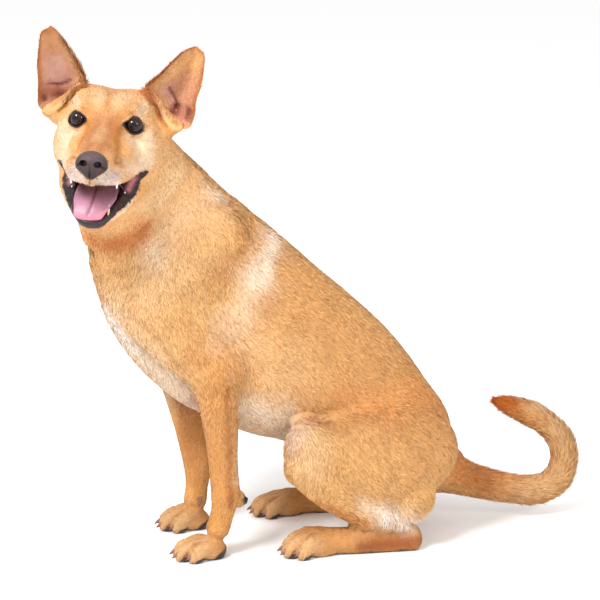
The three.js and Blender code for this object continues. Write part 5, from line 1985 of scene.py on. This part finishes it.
class DOG_OT_whiskers(bpy.types.Operator):
    """Whiskers of the upper lip"""

    bl_idname = "dog.whiskers"
    bl_label = "Whiskers"

    def execute(self, context):
        rng = np.random.default_rng(context.scene.dog_measures.seed + 1)
        pieces, shades = [], []
        for side in (1, -1):
            for row in range(3):
                for place in range(5):
                    start = np.array([84 - 6.5 * place - 2 * row, side * (14 + 3.6 * place), -36 - 5.0 * row])
                    way = np.array([0.25 - 0.2 * place, side * 1.0, -0.25 - 0.15 * row])
                    way += rng.normal(0, 0.08, 3)
                    way /= np.linalg.norm(way)
                    length = rng.uniform(16, 26)
                    at = np.linspace(0, 1, 6)[:, None]
                    line = start + way * at * length + np.array([-0.35, 0, -0.3]) * at**2 * length
                    wide = 0.22 * (1 - 0.85 * at)
                    section = ((1, 0, 0), (-0.5, 0, 0.87), (-0.5, 0, -0.87))
                    corners = [line + wide * np.array(corner) for corner in section]
                    verts = np.stack(corners, axis=1).reshape(-1, 3)
                    faces = [(a, b, b + 3, a + 3) for r in range(5) for a, b in
                             ((3 * r, 3 * r + 1), (3 * r + 1, 3 * r + 2), (3 * r + 2, 3 * r))]
                    faces += [(2, 1, 0), (15, 16, 17)]
                    pieces.append((out_of_head(verts), faces))
                    pale = linear("#e9e2da") if rng.random() < 0.6 else linear("#3a2f2c")
                    shades.append(np.tile(np.array(pale), (len(verts), 1)))
        whiskers = object_of("whiskers", *joined(pieces))
        tint(whiskers.data, np.vstack(shades))
        finished(whiskers, None, material=tinted_material("stiff_whisker_hair", {"Roughness": 0.4}))
        return {"FINISHED"}


def soft_lamp(name, place, target, size, power):
    """A square soft light that faces a target; places in millimetres of the dog's frame."""
    data = bpy.data.lights.new(name, "AREA")
    data.size = size
    data.energy = power
    lamp = bpy.data.objects.new(name, data)
    bpy.context.scene.collection.objects.link(lamp)
    place, target = (Vector(to_scene(p)) for p in (place, target))
    lamp.location = place
    lamp.rotation_euler = (target - place).to_track_quat("-Z", "Y").to_euler()
    return lamp


class DOG_OT_stage(bpy.types.Operator):
    """Plain pale floor, soft studio light and the camera"""

    bl_idname = "dog.stage"
    bl_label = "Stage"

    def execute(self, context):
        scene = context.scene
        bm = bmesh.new()
        bmesh.ops.create_grid(bm, x_segments=1, y_segments=1, size=12)
        floor = object_from(bm, "floor")
        paper = {"Base Color": (*linear("#fbfbfb"), 1), "Roughness": 0.9, "Specular IOR Level": 0.0}
        floor.data.materials.append(new_material("matt_white_paper", paper)[0])
        world = bpy.data.worlds.new("studio")
        world.use_nodes = True
        world.node_tree.nodes["Background"].inputs["Color"].default_value = (1, 1, 1, 1)
        world.node_tree.nodes["Background"].inputs["Strength"].default_value = 1.0
        scene.world = world
        for name, place, size, power in LAMPS:
            soft_lamp(name, place, LAMPS_FACE, size, power)
        scene.view_settings.view_transform = "Standard"

        data = bpy.data.cameras.new("camera")
        data.lens = CAMERA_LENS
        data.clip_end = 40
        camera = bpy.data.objects.new("camera", data)
        scene.collection.objects.link(camera)
        azimuth, elevation = math.radians(CAMERA_AZIMUTH), math.radians(CAMERA_ELEVATION)
        away = Vector((math.sin(azimuth) * math.cos(elevation), -math.cos(azimuth) * math.cos(elevation),
                       math.sin(elevation)))
        camera.location = Vector(to_scene(CAMERA_TARGET)) + away * CAMERA_AWAY / 1000
        camera.rotation_euler = (-away).to_track_quat("-Z", "Y").to_euler()
        scene.camera = camera
        return {"FINISHED"}


class DOG_PT_panel(bpy.types.Panel):
    """The dog's pieces in the sidebar"""

    bl_idname = "DOG_PT_panel"
    bl_label = "Sitting dog"
    bl_space_type = "VIEW_3D"
    bl_region_type = "UI"
    bl_category = "Dog"

    def draw(self, context):
        for group in ("dog_measures", "dog_colours"):
            settings = getattr(context.scene, group)
            for name in settings.bl_rna.properties.keys():
                if name not in ("rna_type", "name"):
                    self.layout.prop(settings, name)
        for operator in OPERATORS:
            self.layout.operator(operator.bl_idname)


OPERATORS = (
    DOG_OT_skin, DOG_OT_coat, DOG_OT_eyes, DOG_OT_nose, DOG_OT_mouth, DOG_OT_claws, DOG_OT_whiskers,
    DOG_OT_stage,
)
CLASSES = (Measures, Colours, *OPERATORS, DOG_PT_panel)


def register():
    for cls in CLASSES:
        bpy.utils.register_class(cls)
    bpy.types.Scene.dog_measures = PointerProperty(type=Measures)
    bpy.types.Scene.dog_colours = PointerProperty(type=Colours)


def unregister():
    del bpy.types.Scene.dog_measures
    del bpy.types.Scene.dog_colours
    for cls in reversed(CLASSES):
        bpy.utils.unregister_class(cls)


def main():
    register()
    bpy.ops.dog.skin()
    bpy.ops.dog.coat()
    bpy.ops.dog.eyes()
    bpy.ops.dog.nose()
    bpy.ops.dog.mouth()
    bpy.ops.dog.claws()
    bpy.ops.dog.whiskers()
    bpy.ops.dog.stage()


if __name__ == "__main__":
    main()
